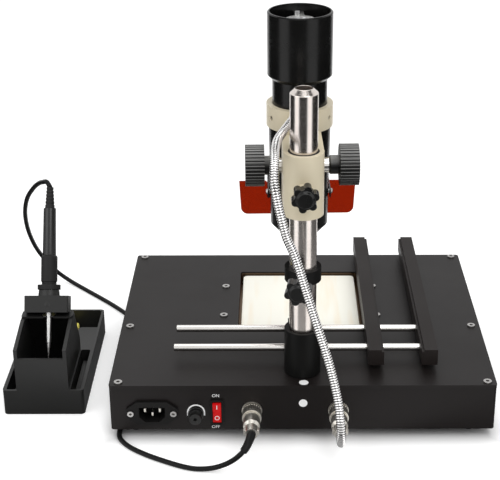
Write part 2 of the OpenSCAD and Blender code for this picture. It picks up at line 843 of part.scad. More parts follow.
// Rocker seen from its end: two faces that meet over the pivot, and a toe below it
module rocker_profile() {
    half = rocker_h / 2;
    polygon([[-half, 2.2], [0, 0.9], [half, 2.2], [half, -1.5], [2.5, -6.5], [-2.5, -6.5], [-half, -1.5]]);
}

module switch_rocker() {
    color("crimson") on_rear(switch_x, rear_z) translate([0, 0, -rocker_pivot])
        rotate([rocker_tilt, 0, 0]) {
            translate([-rocker_w / 2, 0, rocker_pivot]) rotate([90, 0, 90])
                linear_extrude(rocker_w) rocker_profile();
            translate([-switch_w / 2, 0, 0]) rotate([0, 90, 0]) cylinder(r = 1.2, h = switch_w);
        }
}

// Panel socket with a round barrel outside and a nut inside the wall
module panel_socket() {
    nut_t = 4;
    inside = 14;
    color(nickel) {
        cylinder(d = socket_flange_d, h = socket_flange_t);
        translate([0, 0, -inside]) cylinder(d = barrel_d, h = inside + barrel_out);
        translate([0, 0, -sheet_t - nut_t]) cylinder(d = socket_flange_d, h = nut_t, $fn = 6);
    }
}

module iron_socket() {
    on_rear(iron_socket_x, round_z) panel_socket();
}

module lamp_socket() {
    on_rear(-lamp_socket_x, round_z) panel_socket();
}

// Round plug: a collar inside the coupling ring, the shell, a taper and the cable clamp
module round_plug() {
    collar_low = barrel_out + air;
    collar_high = ring_end - plug_lip - air;
    shell_low = ring_end + air;
    clamp_len = 10;
    taper = 3;
    clamp_d = 11.5;
    clamp_screw_gap = 5.6;
    clamp_screw_d = 3.6;
    color(nickel) {
        translate([0, 0, collar_low]) cylinder(d = barrel_d - 0.4, h = collar_high - collar_low);
        translate([0, 0, collar_low]) cylinder(d = plug_neck_d, h = shell_low - collar_low + cut);
        translate([0, 0, shell_low]) cylinder(d = plug_shell_d, h = plug_len - clamp_len - taper - shell_low);
        translate([0, 0, plug_len - clamp_len - taper]) cylinder(d1 = plug_shell_d, d2 = clamp_d, h = taper);
        translate([0, 0, plug_len - clamp_len]) cylinder(d = clamp_d, h = clamp_len);
        for (side = [-1, 1]) {
            translate([side * clamp_d / 2 - 1.5, -2.5, plug_len - 8]) cube([3, 5, 5]);
            translate([side * clamp_screw_gap / 2, 0, plug_len - clamp_len]) rotate([-90, 0, 0])
                cylinder(d = clamp_screw_d, h = clamp_d / 2 + 1.2);
        }
    }
}

module plug_ring() {
    flutes = 24;
    color(nickel) translate([0, 0, ring_start]) difference() {
        cylinder(d = plug_ring_d, h = ring_end - ring_start);
        translate([0, 0, -cut])
            cylinder(d = barrel_d + 0.7, h = ring_end - ring_start - plug_lip + cut);
        cylinder(d = plug_neck_d + 2 * run_fit, h = ring_end);
        for (k = [0 : flutes - 1]) rotate(k * 360 / flutes)
            translate([plug_ring_d / 2 + 0.35, 0, 1.5]) cylinder(r = 0.7, h = ring_end - ring_start - 3);
    }
}

module iron_plug() {
    on_rear(iron_socket_x, round_z) round_plug();
}

module iron_plug_ring() {
    on_rear(iron_socket_x, round_z) plug_ring();
}

module lamp_plug() {
    on_rear(-lamp_socket_x, round_z) round_plug();
}

module lamp_plug_ring() {
    on_rear(-lamp_socket_x, round_z) plug_ring();
}

// The iron's lead as points, from its plug to the tail of the handle
iron_lean_way = [0, -sin(iron_lean), cos(iron_lean)];
iron_tail_end = [iron_x, seat_y, seat_z] + (tail_z + tail_len) * iron_lean_way;
iron_lead = curve(concat(iron_route, [iron_tail_end + [10, -15, -0.5], iron_tail_end + [4, -5.6, 3.4], iron_tail_end]), 2);
lead_side = [0.1, 0.2, 1];

module iron_cord() {
    color(rubber_black) sweep(iron_lead, iron_cord_d, [0, 1, 0], -iron_lean_way, lead_side);
}

// Soft boot over the lead's first length, behind the plug
module iron_boot() {
    last = 7;
    boot = [for (i = [0 : last]) iron_lead[i]];
    bore = concat([boot[0] - [0, cut, 0]], boot, [iron_lead[last + 1]]);
    color(rubber_black) difference() {
        sweep(boot, boot_d, [0, 1, 0], heading(iron_lead, last), lead_side, 12, boot_end_d);
        sweep(bore, iron_cord_d + 2 * seam, [0, 1, 0], heading(iron_lead, last + 1), lead_side, 12);
    }
}

module lamp_hose() {
    end = around([0, gland_y + gland_len, gland_z], holder_turn);
    color(steel)
        sweep(curve(concat(hose_route, [end + [2.5, 8, -0.7], end]), 1), hose_d,
            [0, 1, 0], [sin(holder_turn), -cos(holder_turn), 0], [1, 0, 0]);
}

module column_socket() {
    color(plastic_black) translate([0, column_y, lid_z]) difference() {
        cylinder(d = socket_d, h = socket_h);
        translate([0, 0, -cut]) cylinder(d = column_d + 2 * run_fit, h = socket_h + 2 * cut);
        translate([0, 0, socket_h - 1])
            cylinder(d1 = column_d + 2 * run_fit, d2 = column_d + 2.2 + 2 * run_fit, h = 1.1);
    }
}

// Polished tube, bolted to the lid by a spigot and a nut below the lid
module column() {
    chamfer = 4.5;
    nut_t = 8;
    nut_d = 34;
    color(steel) translate([0, column_y, 0]) {
        difference() {
            translate([0, 0, lid_z]) {
                cylinder(d = column_d, h = column_h - chamfer);
                translate([0, 0, column_h - chamfer])
                    cylinder(d1 = column_d, d2 = column_d - 2 * chamfer, h = chamfer);
            }
            translate([0, 0, lid_z + socket_h]) cylinder(d = spigot_d, h = column_h);
        }
        translate([0, 0, chassis_top - nut_t - 4]) cylinder(d = spigot_d, h = nut_t + 4 + sheet_t + cut);
        translate([0, 0, chassis_top - nut_t]) cylinder(d = nut_d, h = nut_t, $fn = 6);
    }
}

// Moulded star knob on a shank, standing on z = 0
module star_knob(shank_len, shank_d) {
    lobe_r = star_d * 0.14;
    core_r = star_d * 0.38;
    face_h = star_t * 0.22;
    lobe_out = star_d / 2 - lobe_r;
    lobe_turn = 16;
    cylinder(d = shank_d, h = shank_len + cut);
    translate([0, 0, shank_len]) {
        linear_extrude(star_t) {
            circle(core_r);
            for (k = [0 : star_lobes - 1]) rotate(lobe_turn + k * 360 / star_lobes) {
                translate([lobe_out, 0]) circle(lobe_r);
                translate([0, -lobe_r * 0.8]) square([lobe_out, 1.6 * lobe_r]);
            }
        }
        translate([0, 0, star_t - cut]) cylinder(d1 = 1.9 * core_r, d2 = 1.4 * core_r, h = face_h + cut);
    }
}

module stop_collar() {
    color(plastic_black) translate([0, column_y, collar_mid]) difference() {
        union() {
            translate([0, 0, -collar_h / 2]) cylinder(d = collar_d, h = collar_h);
            rotate([-90, 0, 0]) cylinder(d = collar_h - 1, h = collar_boss_out);
        }
        translate([0, 0, -collar_h]) cylinder(d = column_d + 2 * run_fit, h = 2 * collar_h);
        rotate([-90, 0, 0]) cylinder(d = stud_d + 2 * run_fit, h = collar_boss_out + cut);
    }
}

module collar_knob() {
    stud_start = column_r + air;
    shank_start = collar_boss_out + air;
    color(plastic_black) behind_column(collar_mid) {
        translate([0, 0, shank_start]) star_knob(collar_knob_out - shank_start, knob_shank_d);
        translate([0, 0, stud_start]) cylinder(d = stud_d, h = shank_start - stud_start + cut);
    }
}

module column_bush() {
    color("darkgoldenrod") translate([0, column_y, holder_low])
        tube(2 * bush_r, column_d + 2 * run_fit, holder_h);
}

// Cross-section of the focusing slide's dovetail, widened all round by a gap
module dovetail(front, gap) {
    polygon([[-slide_neck_w / 2 - gap, front], [-slide_neck_w / 2 - gap, slide_neck_y],
        [-slide_w / 2 - gap, slide_back + gap], [slide_w / 2 + gap, slide_back + gap],
        [slide_neck_w / 2 + gap, slide_neck_y], [slide_neck_w / 2 + gap, front]]);
}

// Cream casting: the sleeve on the column and the focusing block in front of it
module holder_body() {
    pocket_r = pitch_r + tooth_tip + 0.6;
    boss_d = 16;
    color(cream) difference() {
        union() {
            translate([0, column_y, holder_low]) cylinder(d = holder_d, h = holder_h);
            translate([0, (block_y + column_y) / 2, holder_low])
                plate(block_w, column_y - block_y, holder_h, 3);
            behind_column(holder_knob_z) cylinder(d = boss_d, h = holder_boss_out);
        }
        translate([0, column_y, holder_low - cut]) cylinder(r = holder_bore_r, h = holder_h + 2 * cut);
        translate([0, 0, holder_low - cut]) linear_extrude(holder_h + 2 * cut) {
            dovetail(block_y - cut, slide_gap);
            translate([-rack_w / 2 - air, slide_back])
                square([rack_w + 2 * air, rack_line + tooth_tip + 0.6 - slide_back]);
        }
        translate([0, pinion_y, pinion_z]) rotate([0, 90, 0]) {
            cylinder(r = pocket_r, h = pinion_w + 2 * air, center = true);
            cylinder(d = shaft_d + 2 * run_fit, h = block_w + 2 * cut, center = true);
        }
        behind_column(holder_knob_z) cylinder(d = stud_d + 2 * run_fit, h = holder_boss_out + cut);
    }
}

module holder_knob() {
    shank = 2;
    stud_start = bush_r + air;
    shank_start = holder_boss_out + air;
    color(plastic_black) behind_column(holder_knob_z) {
        translate([0, 0, shank_start]) star_knob(shank, knob_shank_d);
        translate([0, 0, stud_start]) cylinder(d = stud_d, h = shank_start - stud_start + cut);
    }
}

// Half of the tooth's width at a height above the pitch line, thinned for backlash
function tooth_half(rise) = 0.42 * tooth_pitch / 2 - rise * tan(20);

module pinion_profile() {
    circle(pitch_r - tooth_root);
    for (k = [0 : pinion_teeth - 1]) rotate(k * 360 / pinion_teeth)
        polygon([[0, -0.5], [pitch_r - tooth_root, -tooth_half(-0.6)], [pitch_r, -tooth_half(0)],
            [pitch_r + tooth_tip, -tooth_half(tooth_tip)], [pitch_r + tooth_tip, tooth_half(tooth_tip)],
            [pitch_r, tooth_half(0)], [pitch_r - tooth_root, tooth_half(-0.6)], [0, 0.5]]);
}

module pinion_shaft() {
    shaft_len = focus_knob_gap + 2 * focus_knob_t - 4;
    color(steel) translate([0, pinion_y, pinion_z]) {
        rotate([0, 90, 0]) {
            cylinder(d = shaft_d, h = shaft_len, center = true);
            linear_extrude(pinion_w, center = true) rotate(-90) pinion_profile();
        }
        for (side = [-1, 1]) translate([side * (block_w / 2 + air), 0, 0]) rotate([0, side * 90, 0])
            tube(shaft_collar_d, shaft_d - 0.2, shaft_collar_t);
    }
}

module focus_knobs() {
    hub_in = block_w / 2 + air + shaft_collar_t;
    rib_r = PI * focus_knob_d / focus_knob_ribs / 4;
    color(plastic_black) translate([0, pinion_y, pinion_z])
        for (side = [-1, 1]) rotate([0, side * 90, 0]) difference() {
            union() {
                translate([0, 0, hub_in + focus_hub_chamfer])
                    cylinder(d = focus_hub_d, h = focus_knob_gap / 2 - hub_in - focus_hub_chamfer + cut);
                translate([0, 0, hub_in])
                    cylinder(d1 = focus_hub_d - 2 * focus_hub_chamfer, d2 = focus_hub_d, h = focus_hub_chamfer);
                translate([0, 0, focus_knob_gap / 2]) linear_extrude(focus_knob_t) difference() {
                    circle(d = focus_knob_d);
                    for (k = [0 : focus_knob_ribs - 1]) rotate(k * 360 / focus_knob_ribs)
                        translate([focus_knob_d / 2, 0]) circle(rib_r);
                }
            }
            cylinder(d = shaft_d + 2 * run_fit, h = focus_knob_gap / 2 + focus_knob_t - 1.9);
            translate([0, 0, focus_knob_gap / 2 + focus_knob_t - 1])
                cylinder(d = focus_knob_d * 0.74, h = 1 + cut);
        }
}

// Cream ring round the lamp's neck, cast in one with the focusing slide
module lamp_ring() {
    slide_low = ring_low - slide_len;
    color(cream) difference() {
        union() {
            translate([0, lamp_y, ring_low]) cylinder(d = ring_d, h = ring_h);
            translate([0, 0, slide_low]) linear_extrude(ring_top - slide_low) dovetail(slide_front, 0);
            translate([-slide_neck_w / 2, lamp_y, ring_low])
                cube([slide_neck_w, slide_front - lamp_y + cut, ring_h]);
        }
        translate([0, lamp_y, slide_low - cut])
            cylinder(d = neck_d + 2 * seam, h = ring_top - slide_low + 2 * cut);
        translate([0, lamp_y, slide_low - cut])
            cylinder(d = tube_top_d + 2 * air, h = slide_len + cut);
        translate([-rack_w / 2, slide_back - rack_slot, slide_low - cut])
            cube([rack_w, rack_slot + cut, rack_len + cut]);
        for (a = [30, 150, 270]) translate([0, lamp_y, ring_low + ring_h / 2]) rotate([90, 0, a + 90])
            cylinder(d = screw_d + 2 * seam, h = ring_d);
    }
}

// Brass rack let into the slide's rear face, with a gap opposite the pinion's lowest tooth
module focus_rack() {
    rack_low = ring_low - slide_len;
    first = ceil((rack_low + tooth_pitch / 2 - pinion_z) / tooth_pitch - 0.5);
    count = floor((rack_len - tooth_pitch) / tooth_pitch);
    color("darkgoldenrod") translate([-rack_w / 2, 0, 0]) {
        translate([0, slide_back - rack_slot, rack_low]) cube([rack_w, rack_face + rack_slot - slide_back, rack_len]);
        for (k = [0 : count - 1])
            translate([0, rack_line, pinion_z + (first + k + 0.5) * tooth_pitch]) rotate([90, 0, 90])
                linear_extrude(rack_w)
                    polygon([[-tooth_root - 0.1, -tooth_half(-tooth_root)], [tooth_tip, -tooth_half(tooth_tip)],
                        [tooth_tip, tooth_half(tooth_tip)], [-tooth_root - 0.1, tooth_half(-tooth_root)]]);
    }
}

module lamp_tube() {
    seat_r = neck_d / 2 + seam;
    bore_r = tube_end_d / 2 - lamp_wall;
    mouth_r = nose_d / 2 - lamp_wall;
    seat_low = neck_low - 1;
    color(plastic_black) difference() {
        translate([0, lamp_y, 0]) rotate_extrude()
            polygon([[mouth_r, tube_low], [nose_d / 2, tube_low], [tube_end_d / 2, tube_low + tube_nose],
                [tube_top_d / 2, tube_top], [seat_r, tube_top], [seat_r, seat_low], [bore_r, seat_low],
                [bore_r, lens_z], [mouth_r, lens_z]]);
        for (side = [-1, 1]) translate([0, lamp_y, pivot_z]) rotate([0, side * 90, 0])
            cylinder(d = pivot_d + 2 * seam, h = tube_top_d);
    }
}

module lamp_cup() {
    inner_r = cup_d / 2 - lamp_wall;
    neck_in = neck_d / 2 - lamp_wall;
    chamfer = 4;
    throat_r = 18;
    color(plastic_black) difference() {
        translate([0, lamp_y, 0]) rotate_extrude()
            polygon([[neck_in, neck_low], [neck_d / 2, neck_low], [neck_d / 2, cup_low],
                [cup_d / 2 - chamfer, cup_low], [cup_d / 2, cup_low + chamfer], [cup_d / 2, cup_top - 1],
                [cup_d / 2 - 1, cup_top], [inner_r, cup_top], [inner_r, cup_low + cup_floor],
                [throat_r, cup_low + cup_floor], [throat_r, cup_low - 1], [neck_in, cup_low - 1]]);
        translate([0, lamp_y, gland_z]) rotate([-90, 0, 0]) cylinder(d = gland_d - 1, h = neck_d);
    }
}

// Halogen reflector lamp with its mouth down and its ceramic base up
module bulb() {
    wall = 1.5;
    neck_r = 9;
    color("lightgray") translate([0, lamp_y, bulb_z]) {
        rotate_extrude() polygon([[bulb_mouth_d / 2 - wall, 0], [bulb_mouth_d / 2, 0],
            [bulb_mouth_d / 2, 3], [bulb_mouth_d / 2 - 5, 10], [neck_r + 4, bulb_h - 4], [neck_r, bulb_h],
            [0, bulb_h], [0, bulb_h - 6], [neck_r + 1, bulb_h - 6], [bulb_mouth_d / 2 - 7, 9],
            [bulb_mouth_d / 2 - wall, 3]]);
        translate([-bulb_base_w / 2, -bulb_base_w / 2, bulb_h])
            cube([bulb_base_w, bulb_base_w, bulb_base_h]);
    }
}

// Three-legged spring ring that holds the bulb down, its feet against the cup's wall
module bulb_clip() {
    hub_r = 13.5;
    hole_r = 8;
    leg_w = 9;
    leg_r = cup_d / 2 - lamp_wall - air;
    tab_w = 4.2;
    color(steel) translate([0, lamp_y, clip_z]) {
        difference() {
            intersection() {
                translate([0, 0, -clip_tab]) cylinder(r = leg_r, h = clip_tab + clip_t);
                union() {
                    cylinder(r = hub_r, h = clip_t);
                    for (a = [30, 150, 270]) rotate(a) {
                        translate([0, -leg_w / 2, 0]) cube([leg_r + 2, leg_w, clip_t]);
                        translate([leg_r - clip_t, -leg_w / 2, -clip_tab]) cube([2 * clip_t, leg_w, clip_tab + clip_t]);
                    }
                }
            }
            translate([0, 0, -cut]) cylinder(r = hole_r, h = clip_t + 2 * cut);
        }
        translate([0, -hub_r + clip_t, 0]) cube([tab_w, clip_t, tab_w + clip_t]);
    }
}

module lens() {
    dome_r = 60;
    color("lightcyan") translate([0, lamp_y, lens_z]) rotate_extrude() intersection() {
        translate([0, lens_t - dome_r]) circle(dome_r, $fn = 360);
        square([lens_d / 2, lens_t + cut]);
    }
}

// Gland that holds the hose's end on the lamp's neck
module hose_gland() {
    color(nickel) translate([0, gland_y, gland_z]) rotate([-90, 0, 0]) {
        translate([0, 0, -3]) cylinder(d = gland_d - 1 - 2 * seam, h = 3 + cut);
        cylinder(d = gland_d, h = gland_len);
        translate([0, 0, 2]) cylinder(d = gland_d + 2, h = 4, $fn = 6);
    }
}

// Three set screws in the ring and the two pivot screws of the shield
module lamp_screws() {
    head_r = 2.8;
    head_t = 1.6;
    set_len = (ring_d - neck_d) / 2 - 1;
    color(steel) {
        for (a = [30, 150, 270]) translate([0, lamp_y, ring_low + ring_h / 2]) rotate([90, 0, a + 90])
            translate([0, 0, neck_d / 2]) cylinder(d = screw_d, h = set_len);
        for (side = [-1, 1]) translate([0, lamp_y, pivot_z]) rotate([0, side * 90, 0]) {
            translate([0, 0, tube_end_d / 2 - lamp_wall]) cylinder(d = pivot_d, h = arm_out + air + cut - tube_end_d / 2 + lamp_wall);
            translate([0, 0, arm_out + air]) cylinder(r1 = head_r, r2 = head_r * 0.7, h = head_t);
        }
    }
}

// U-shaped strap: two arms on the pivot screws and a cross plate that carries the shield
module shield_bracket() {
    plate_y = shield_y + air;
    arm_tail = 7;
    color(steel) difference() {
        union() {
            for (side = [-1, 1])
                translate([side > 0 ? arm_in : -arm_out, plate_y, pivot_z - arm_h / 2])
                    cube([arm_t, lamp_y + arm_tail - plate_y, arm_h]);
            translate([-arm_out, plate_y, shield_top - shield_notch_d - arm_h])
                cube([2 * arm_out, arm_t, pivot_z + arm_h / 2 - shield_top + shield_notch_d + arm_h]);
        }
        translate([-tube_top_d, lamp_y, pivot_z]) rotate([0, 90, 0])
            cylinder(d = pivot_d + 2 * run_fit, h = 2 * tube_top_d);
    }
}

// Points of an arc about a centre, in steps from one angle to another
function arc(centre, r, from, to) = let (steps = 8)
    [for (k = [0 : steps]) let (a = from + (to - from) * k / steps) centre + r * [cos(a), sin(a)]];

// Flat red sheet with rounded lower corners and a notch in its upper edge
module shield() {
    low = shield_top - shield_h;
    half = shield_w / 2;
    corner = half - shield_taper - shield_corner_r;
    notch = arm_out + 1;
    notch_low = notch - 5;
    color([0.6, 0.08, 0.03, 0.8]) translate([0, shield_y + air, 0]) rotate([90, 0, 0])
        linear_extrude(shield_t) polygon(concat(
            arc([corner, low + shield_corner_r], shield_corner_r, 0, -90),
            arc([-corner, low + shield_corner_r], shield_corner_r, -90, -180),
            [[-half, shield_top], [-notch, shield_top], [-notch_low, shield_top - shield_notch_d],
                [notch_low, shield_top - shield_notch_d], [notch, shield_top], [half, shield_top]]));
}

module rod_block() {
    block_front = rod_rows[0] - rod_d / 2 - 4;
    block_rear = rod_rows[1] + rod_d / 2 + min(rod_clear, 2) - 0.5;
    top = rod_z + rod_d / 2 + 4;
    color(plastic_black) difference() {
        translate([-rod_block_w / 2, block_front, lid_z]) cube([rod_block_w, block_rear - block_front, top]);
        for (y = rod_rows) translate([-rod_block_w, y, rod_axis_z]) rotate([0, 90, 0])
            cylinder(d = rod_d + 2 * run_fit, h = 2 * rod_block_w);
    }
}

module guide_rods() {
    chamfer = 0.6;
    color(steel) for (y = rod_rows) translate([rod_shift - rod_len / 2, y, rod_axis_z]) rotate([0, 90, 0]) {
        cylinder(d1 = rod_d - 2 * chamfer, d2 = rod_d, h = chamfer);
        translate([0, 0, chamfer]) cylinder(d = rod_d, h = rod_len - 2 * chamfer);
        translate([0, 0, rod_len - chamfer]) cylinder(d1 = rod_d, d2 = rod_d - 2 * chamfer, h = chamfer);
    }
}

// Stepped bar with its board ledge on the side that ledge_side names, -1 or 1
module clamp_bar(x, ledge_side) {
    color(plastic_black) difference() {
        translate([x, bar_front + bar_len, bar_low]) rotate([90, 0, 0]) linear_extrude(bar_len)
            polygon([for (p = [[-bar_w / 2, 0], [bar_w / 2, 0], [bar_w / 2, ledge_h],
                [bar_w / 2 - ledge_w, ledge_h], [bar_w / 2 - ledge_w, bar_h], [-bar_w / 2, bar_h]])
                [ledge_side * p.x, p.y]]);
        for (y = rod_rows) translate([x - bar_w, y, rod_axis_z]) rotate([0, 90, 0])
            cylinder(d = rod_d + 2 * run_fit, h = 2 * bar_w);
    }
}

module clamp_bar_inner() {
    clamp_bar(-inner_bar_out, -1);
}

module clamp_bar_outer() {
    clamp_bar(-outer_bar_out, 1);
}

module front_panel() {
    color([0.12, 0.13, 0.15]) on_front(0, front_z) difference() {
        plate(panel_w, panel_h, panel_t, 3);
        for (x = display_x) translate([x, 0, 0]) wall_cut_rect(display_w + 2 * seam, display_h + 2 * seam);
        for (x = button_x) translate([x, 0, 0]) wall_cut_round(button_d + 2 * air);
        translate([dial_x, 0, 0]) wall_cut_round(dial_shaft_d + 2 * air);
    }
}

// Two digit displays, each with a mask frame and a recessed red window
module displays() {
    deep = 9;
    frame = 2;
    color([0.35, 0.03, 0.03]) for (x = display_x) on_front(x, front_z) difference() {
        translate([-display_w / 2, -display_h / 2, -deep]) cube([display_w, display_h, deep + panel_t]);
        translate([frame - display_w / 2, frame - display_h / 2, panel_t - 0.6])
            cube([display_w - 2 * frame, display_h - 2 * frame, 2]);
    }
}

// Push button: a domed cap, and a flange that keeps it behind the panel
module push_button(x) {
    flange_deep = sheet_t;
    color("gainsboro") on_front(x, front_z) {
        translate([0, 0, -flange_deep]) cylinder(d = button_d, h = flange_deep + panel_t + button_pull);
        translate([0, 0, -flange_deep]) cylinder(d = button_d + 2 * button_flange, h = flange_deep - air);
    }
}

module button_set() {
    push_button(button_x[0]);
}

module button_up() {
    push_button(button_x[1]);
}

module button_down() {
    push_button(button_x[2]);
}

// Skirted dial with a pointer groove, on the shaft of its control behind the panel
module iron_dial() {
    flutes = 18;
    skirt_t = 2;
    start = panel_t + air;
    shaft_deep = 14;
    color(plastic_black) on_front(dial_x, front_z) difference() {
        union() {
            translate([0, 0, start]) cylinder(d = dial_d, h = skirt_t);
            translate([0, 0, start]) linear_extrude(dial_t) difference() {
                circle(d = dial_d * 0.76);
                for (k = [0 : flutes - 1]) rotate(k * 360 / flutes)
                    translate([dial_d * 0.4, 0]) circle(dial_d * 0.04);
            }
            translate([0, 0, -shaft_deep]) cylinder(d = dial_shaft_d, h = shaft_deep + start + cut);
        }
        translate([-0.6, 0, start + dial_t - 1]) cube([1.2, dial_d, 2]);
    }
}

// Side of the stand's tower, seen along X: it rises from the rear posts to the receptacle
module tower_side() {
    post_rise = 9.5;
    polygon([[stand_back, 0], [stand_back, tower_h + post_rise],
        [receptacle_y + receptacle_d / 2, tower_top], [receptacle_y - foot_len / 2, tower_top],
        [tower_front, tower_knee], [tower_front, 0]]);
}
// the tower's inside follows its sloping front wall
module tower_hollow() {
    wall_top = tower_top - 5;
    front = tower_front + stand_wall;
    lip = receptacle_y - foot_len / 2 + stand_wall;
    slope = (lip - front) / (tower_top - tower_knee);
    polygon([[stand_back - stand_wall, stand_wall], [stand_back - stand_wall, tower_top + cut],
        [tower_front, tower_top + cut], [tower_front, wall_top], [front + slope * (wall_top - tower_knee), wall_top],
        [front, tower_knee], [front, stand_wall]]);
}

module stand_body() {
    mid_y = (stand_back + stand_front) / 2;
    gutter_w = (stand_w - tower_w) / 2 - stand_wall;
    gutter_x = stand_w / 2 - stand_wall - gutter_w / 2;
    well_d = tower_front - stand_front - 2 * stand_wall;
    ridge_len = tower_d * 0.76;
    color(plastic_black) translate([stand_x, 0, 0]) {
        difference() {
            union() {
                translate([0, mid_y, 0]) plate(stand_w, stand_d, tray_h, 4);
                translate([-tower_w / 2, 0, 0]) rotate([90, 0, 90]) linear_extrude(tower_w) tower_side();
            }
            // inside of the tower, open at the top and above the rear wall
            translate([tower_wall - tower_w / 2, 0, 0]) rotate([90, 0, 90])
                linear_extrude(tower_w - 2 * tower_wall) tower_hollow();
            translate([tower_wall - tower_w / 2, stand_back - 2 * stand_wall, tower_h])
                cube([tower_w - 2 * tower_wall, 3 * stand_wall, tower_top]);
            // sponge well
            translate([0, stand_front + stand_wall + well_d / 2, stand_wall * 2])
                plate(stand_w - 2 * stand_wall, well_d, tray_h, 3);
            // tip gutters beside the tower
            for (side = [-1, 1])
                translate([side * gutter_x, stand_back - tower_d / 2, stand_wall * 2])
                    plate(gutter_w - 2, tower_d - 2 * stand_wall, tray_h, 2);
            // way of the iron's barrel past the front wall
            translate([-stand_x, 0, 0]) along_iron() translate([0, 0, -barrel_way]) cylinder(d = iron_bore_d, h = barrel_way);
        }
        // raised shelf beside the sponge and a ridge in the gutter behind it
        translate([stand_wall + shelf_w / 2 - stand_w / 2 - cut / 2, tower_front - stand_wall - shelf_len / 2, stand_wall])
            plate(shelf_w + cut, shelf_len, shelf_h - stand_wall, 4);
        translate([-gutter_x, stand_back - tower_d / 2, stand_wall])
            plate(ridge_w, ridge_len, ridge_h - stand_wall, 1.5);
    }
}

// Leaning cross-piece between the tower's sides, with a funnel for the iron's barrel
module stand_receptacle() {
    foot_t = 2;
    reach = 60;
    mouth_h = 8;
    color(plastic_black) difference() {
        union() {
            along_iron() translate([iron_side, 0, -receptacle_sink - receptacle_h])
                plate(receptacle_w, receptacle_d, receptacle_h, 2);
            translate([stand_x, receptacle_y, tower_top]) plate(tower_w, foot_len, foot_t, 2);
            along_iron() translate([0, 0, -funnel_h]) cylinder(d1 = funnel_d + 4, d2 = funnel_d + 1, h = funnel_h - air);
        }
        along_iron() {
            translate([0, 0, -reach]) cylinder(d = iron_bore_d, h = 2 * reach);
            translate([0, 0, -mouth_h]) cylinder(d1 = iron_bore_d, d2 = funnel_d - 1, h = mouth_h);
        }
    }
}

module sponge() {
    color("khaki") translate([sponge_x, sponge_y, 2 * stand_wall]) plate(sponge_w, sponge_d, sponge_t, 6);
}

module iron_handle() {
    color(plastic_black) along_iron() difference() {
        union() {
            translate([0, 0, core_z]) cylinder(d = handle_d - 2, h = handle_z - core_z + cut);
            translate([0, 0, handle_z]) cylinder(d1 = handle_d, d2 = handle_end_d, h = handle_len);
        }
        cylinder(d = barrel_tube_d + 2 * seam, h = barrel_root + seam);
    }
}

// Soft grip with its finger flange, a waist above the flange and a rounded top edge
module iron_grip() {
    chamfer = 1.2;
    waist = 0.8;
    waist_h = 3;
    color(rubber_black) along_iron() difference() {
        union() {
            cylinder(d = flange_d, h = flange_t);
            cylinder(d = grip_d - 2 * waist, h = flange_t + waist_h);
            translate([0, 0, flange_t + waist_h]) cylinder(d = grip_d, h = grip_len - flange_t - waist_h - chamfer);
            translate([0, 0, grip_len - chamfer]) cylinder(d1 = grip_d, d2 = grip_d - 2 * chamfer, h = chamfer);
        }
        translate([0, 0, core_z]) cylinder(d = handle_d - 2 + 2 * seam, h = grip_len);
        translate([0, 0, -cut]) cylinder(d = barrel_tube_d + 2 * seam, h = grip_len);
    }
}

module iron_barrel() {
    color(steel) along_iron() {
        translate([0, 0, -barrel_tube_len]) cylinder(d = barrel_tube_d, h = barrel_tube_len + barrel_root);
        translate([0, 0, -nose_len]) cylinder(d1 = barrel_tube_d + 1.5, d2 = iron_bore_d - 3.5, h = nose_len);
    }
}

module iron_tip() {
    shank = 5;
    color("rosybrown") along_iron() translate([0, 0, -barrel_tube_len - tip_len]) {
        translate([0, 0, tip_len - shank]) cylinder(d = barrel_tube_d - 1.4, h = shank);
        cylinder(d1 = 0.8, d2 = barrel_tube_d - 2.4, h = tip_len - shank);
    }
}

// Ribbed rubber strain relief at the iron's tail
module iron_tail() {
    ribs = 5;
    rib_gap = tail_len / (ribs + 1);
    color(rubber_black) along_iron() translate([0, 0, tail_z]) difference() {
        cylinder(d1 = tail_d, d2 = iron_cord_d + 2 * tail_lip, h = tail_len);
        for (k = [1 : ribs]) translate([0, 0, k * rib_gap])
            tube(2 * tail_d, tail_d - tail_lip - k * (tail_d - iron_cord_d - 2 * tail_lip) / (ribs + 1), rib_gap / 3);
    }
}

chassis();
top_plate();
case_screws();
feet();
heater_pan();
heater_plate();
transformer();
control_board();
power_inlet();
inlet_pins();
fuse_holder();
fuse_cap();
switch_frame();
switch_rocker();
iron_socket();
lamp_socket();
iron_plug();
iron_plug_ring();
lamp_plug();
lamp_plug_ring();
iron_cord();
iron_boot();
lamp_hose();
column_socket();
column();
about_column(collar_turn) stop_collar();
about_column(collar_turn) collar_knob();
column_bush();
about_column(holder_turn) holder_body();
about_column(holder_turn) holder_knob();
about_column(holder_turn) pinion_shaft();
about_column(holder_turn) focus_knobs();
about_column(holder_turn) lamp_ring();
about_column(holder_turn) focus_rack();
about_column(holder_turn) lamp_tube();
about_column(holder_turn) lamp_cup();
about_column(holder_turn) bulb();
about_column(holder_turn) bulb_clip();
about_column(holder_turn) lens();
about_column(holder_turn) hose_gland();
about_column(holder_turn) lamp_screws();
about_column(holder_turn) shield_bracket();
about_column(holder_turn) shield();
rod_block();
guide_rods();
clamp_bar_inner();
clamp_bar_outer();
front_panel();
displays();
button_set();
button_up();
button_down();
iron_dial();
stand_body();
stand_receptacle();
sponge();
iron_handle();
iron_grip();
iron_barrel();
iron_tip();
iron_tail();
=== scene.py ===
import json
import math

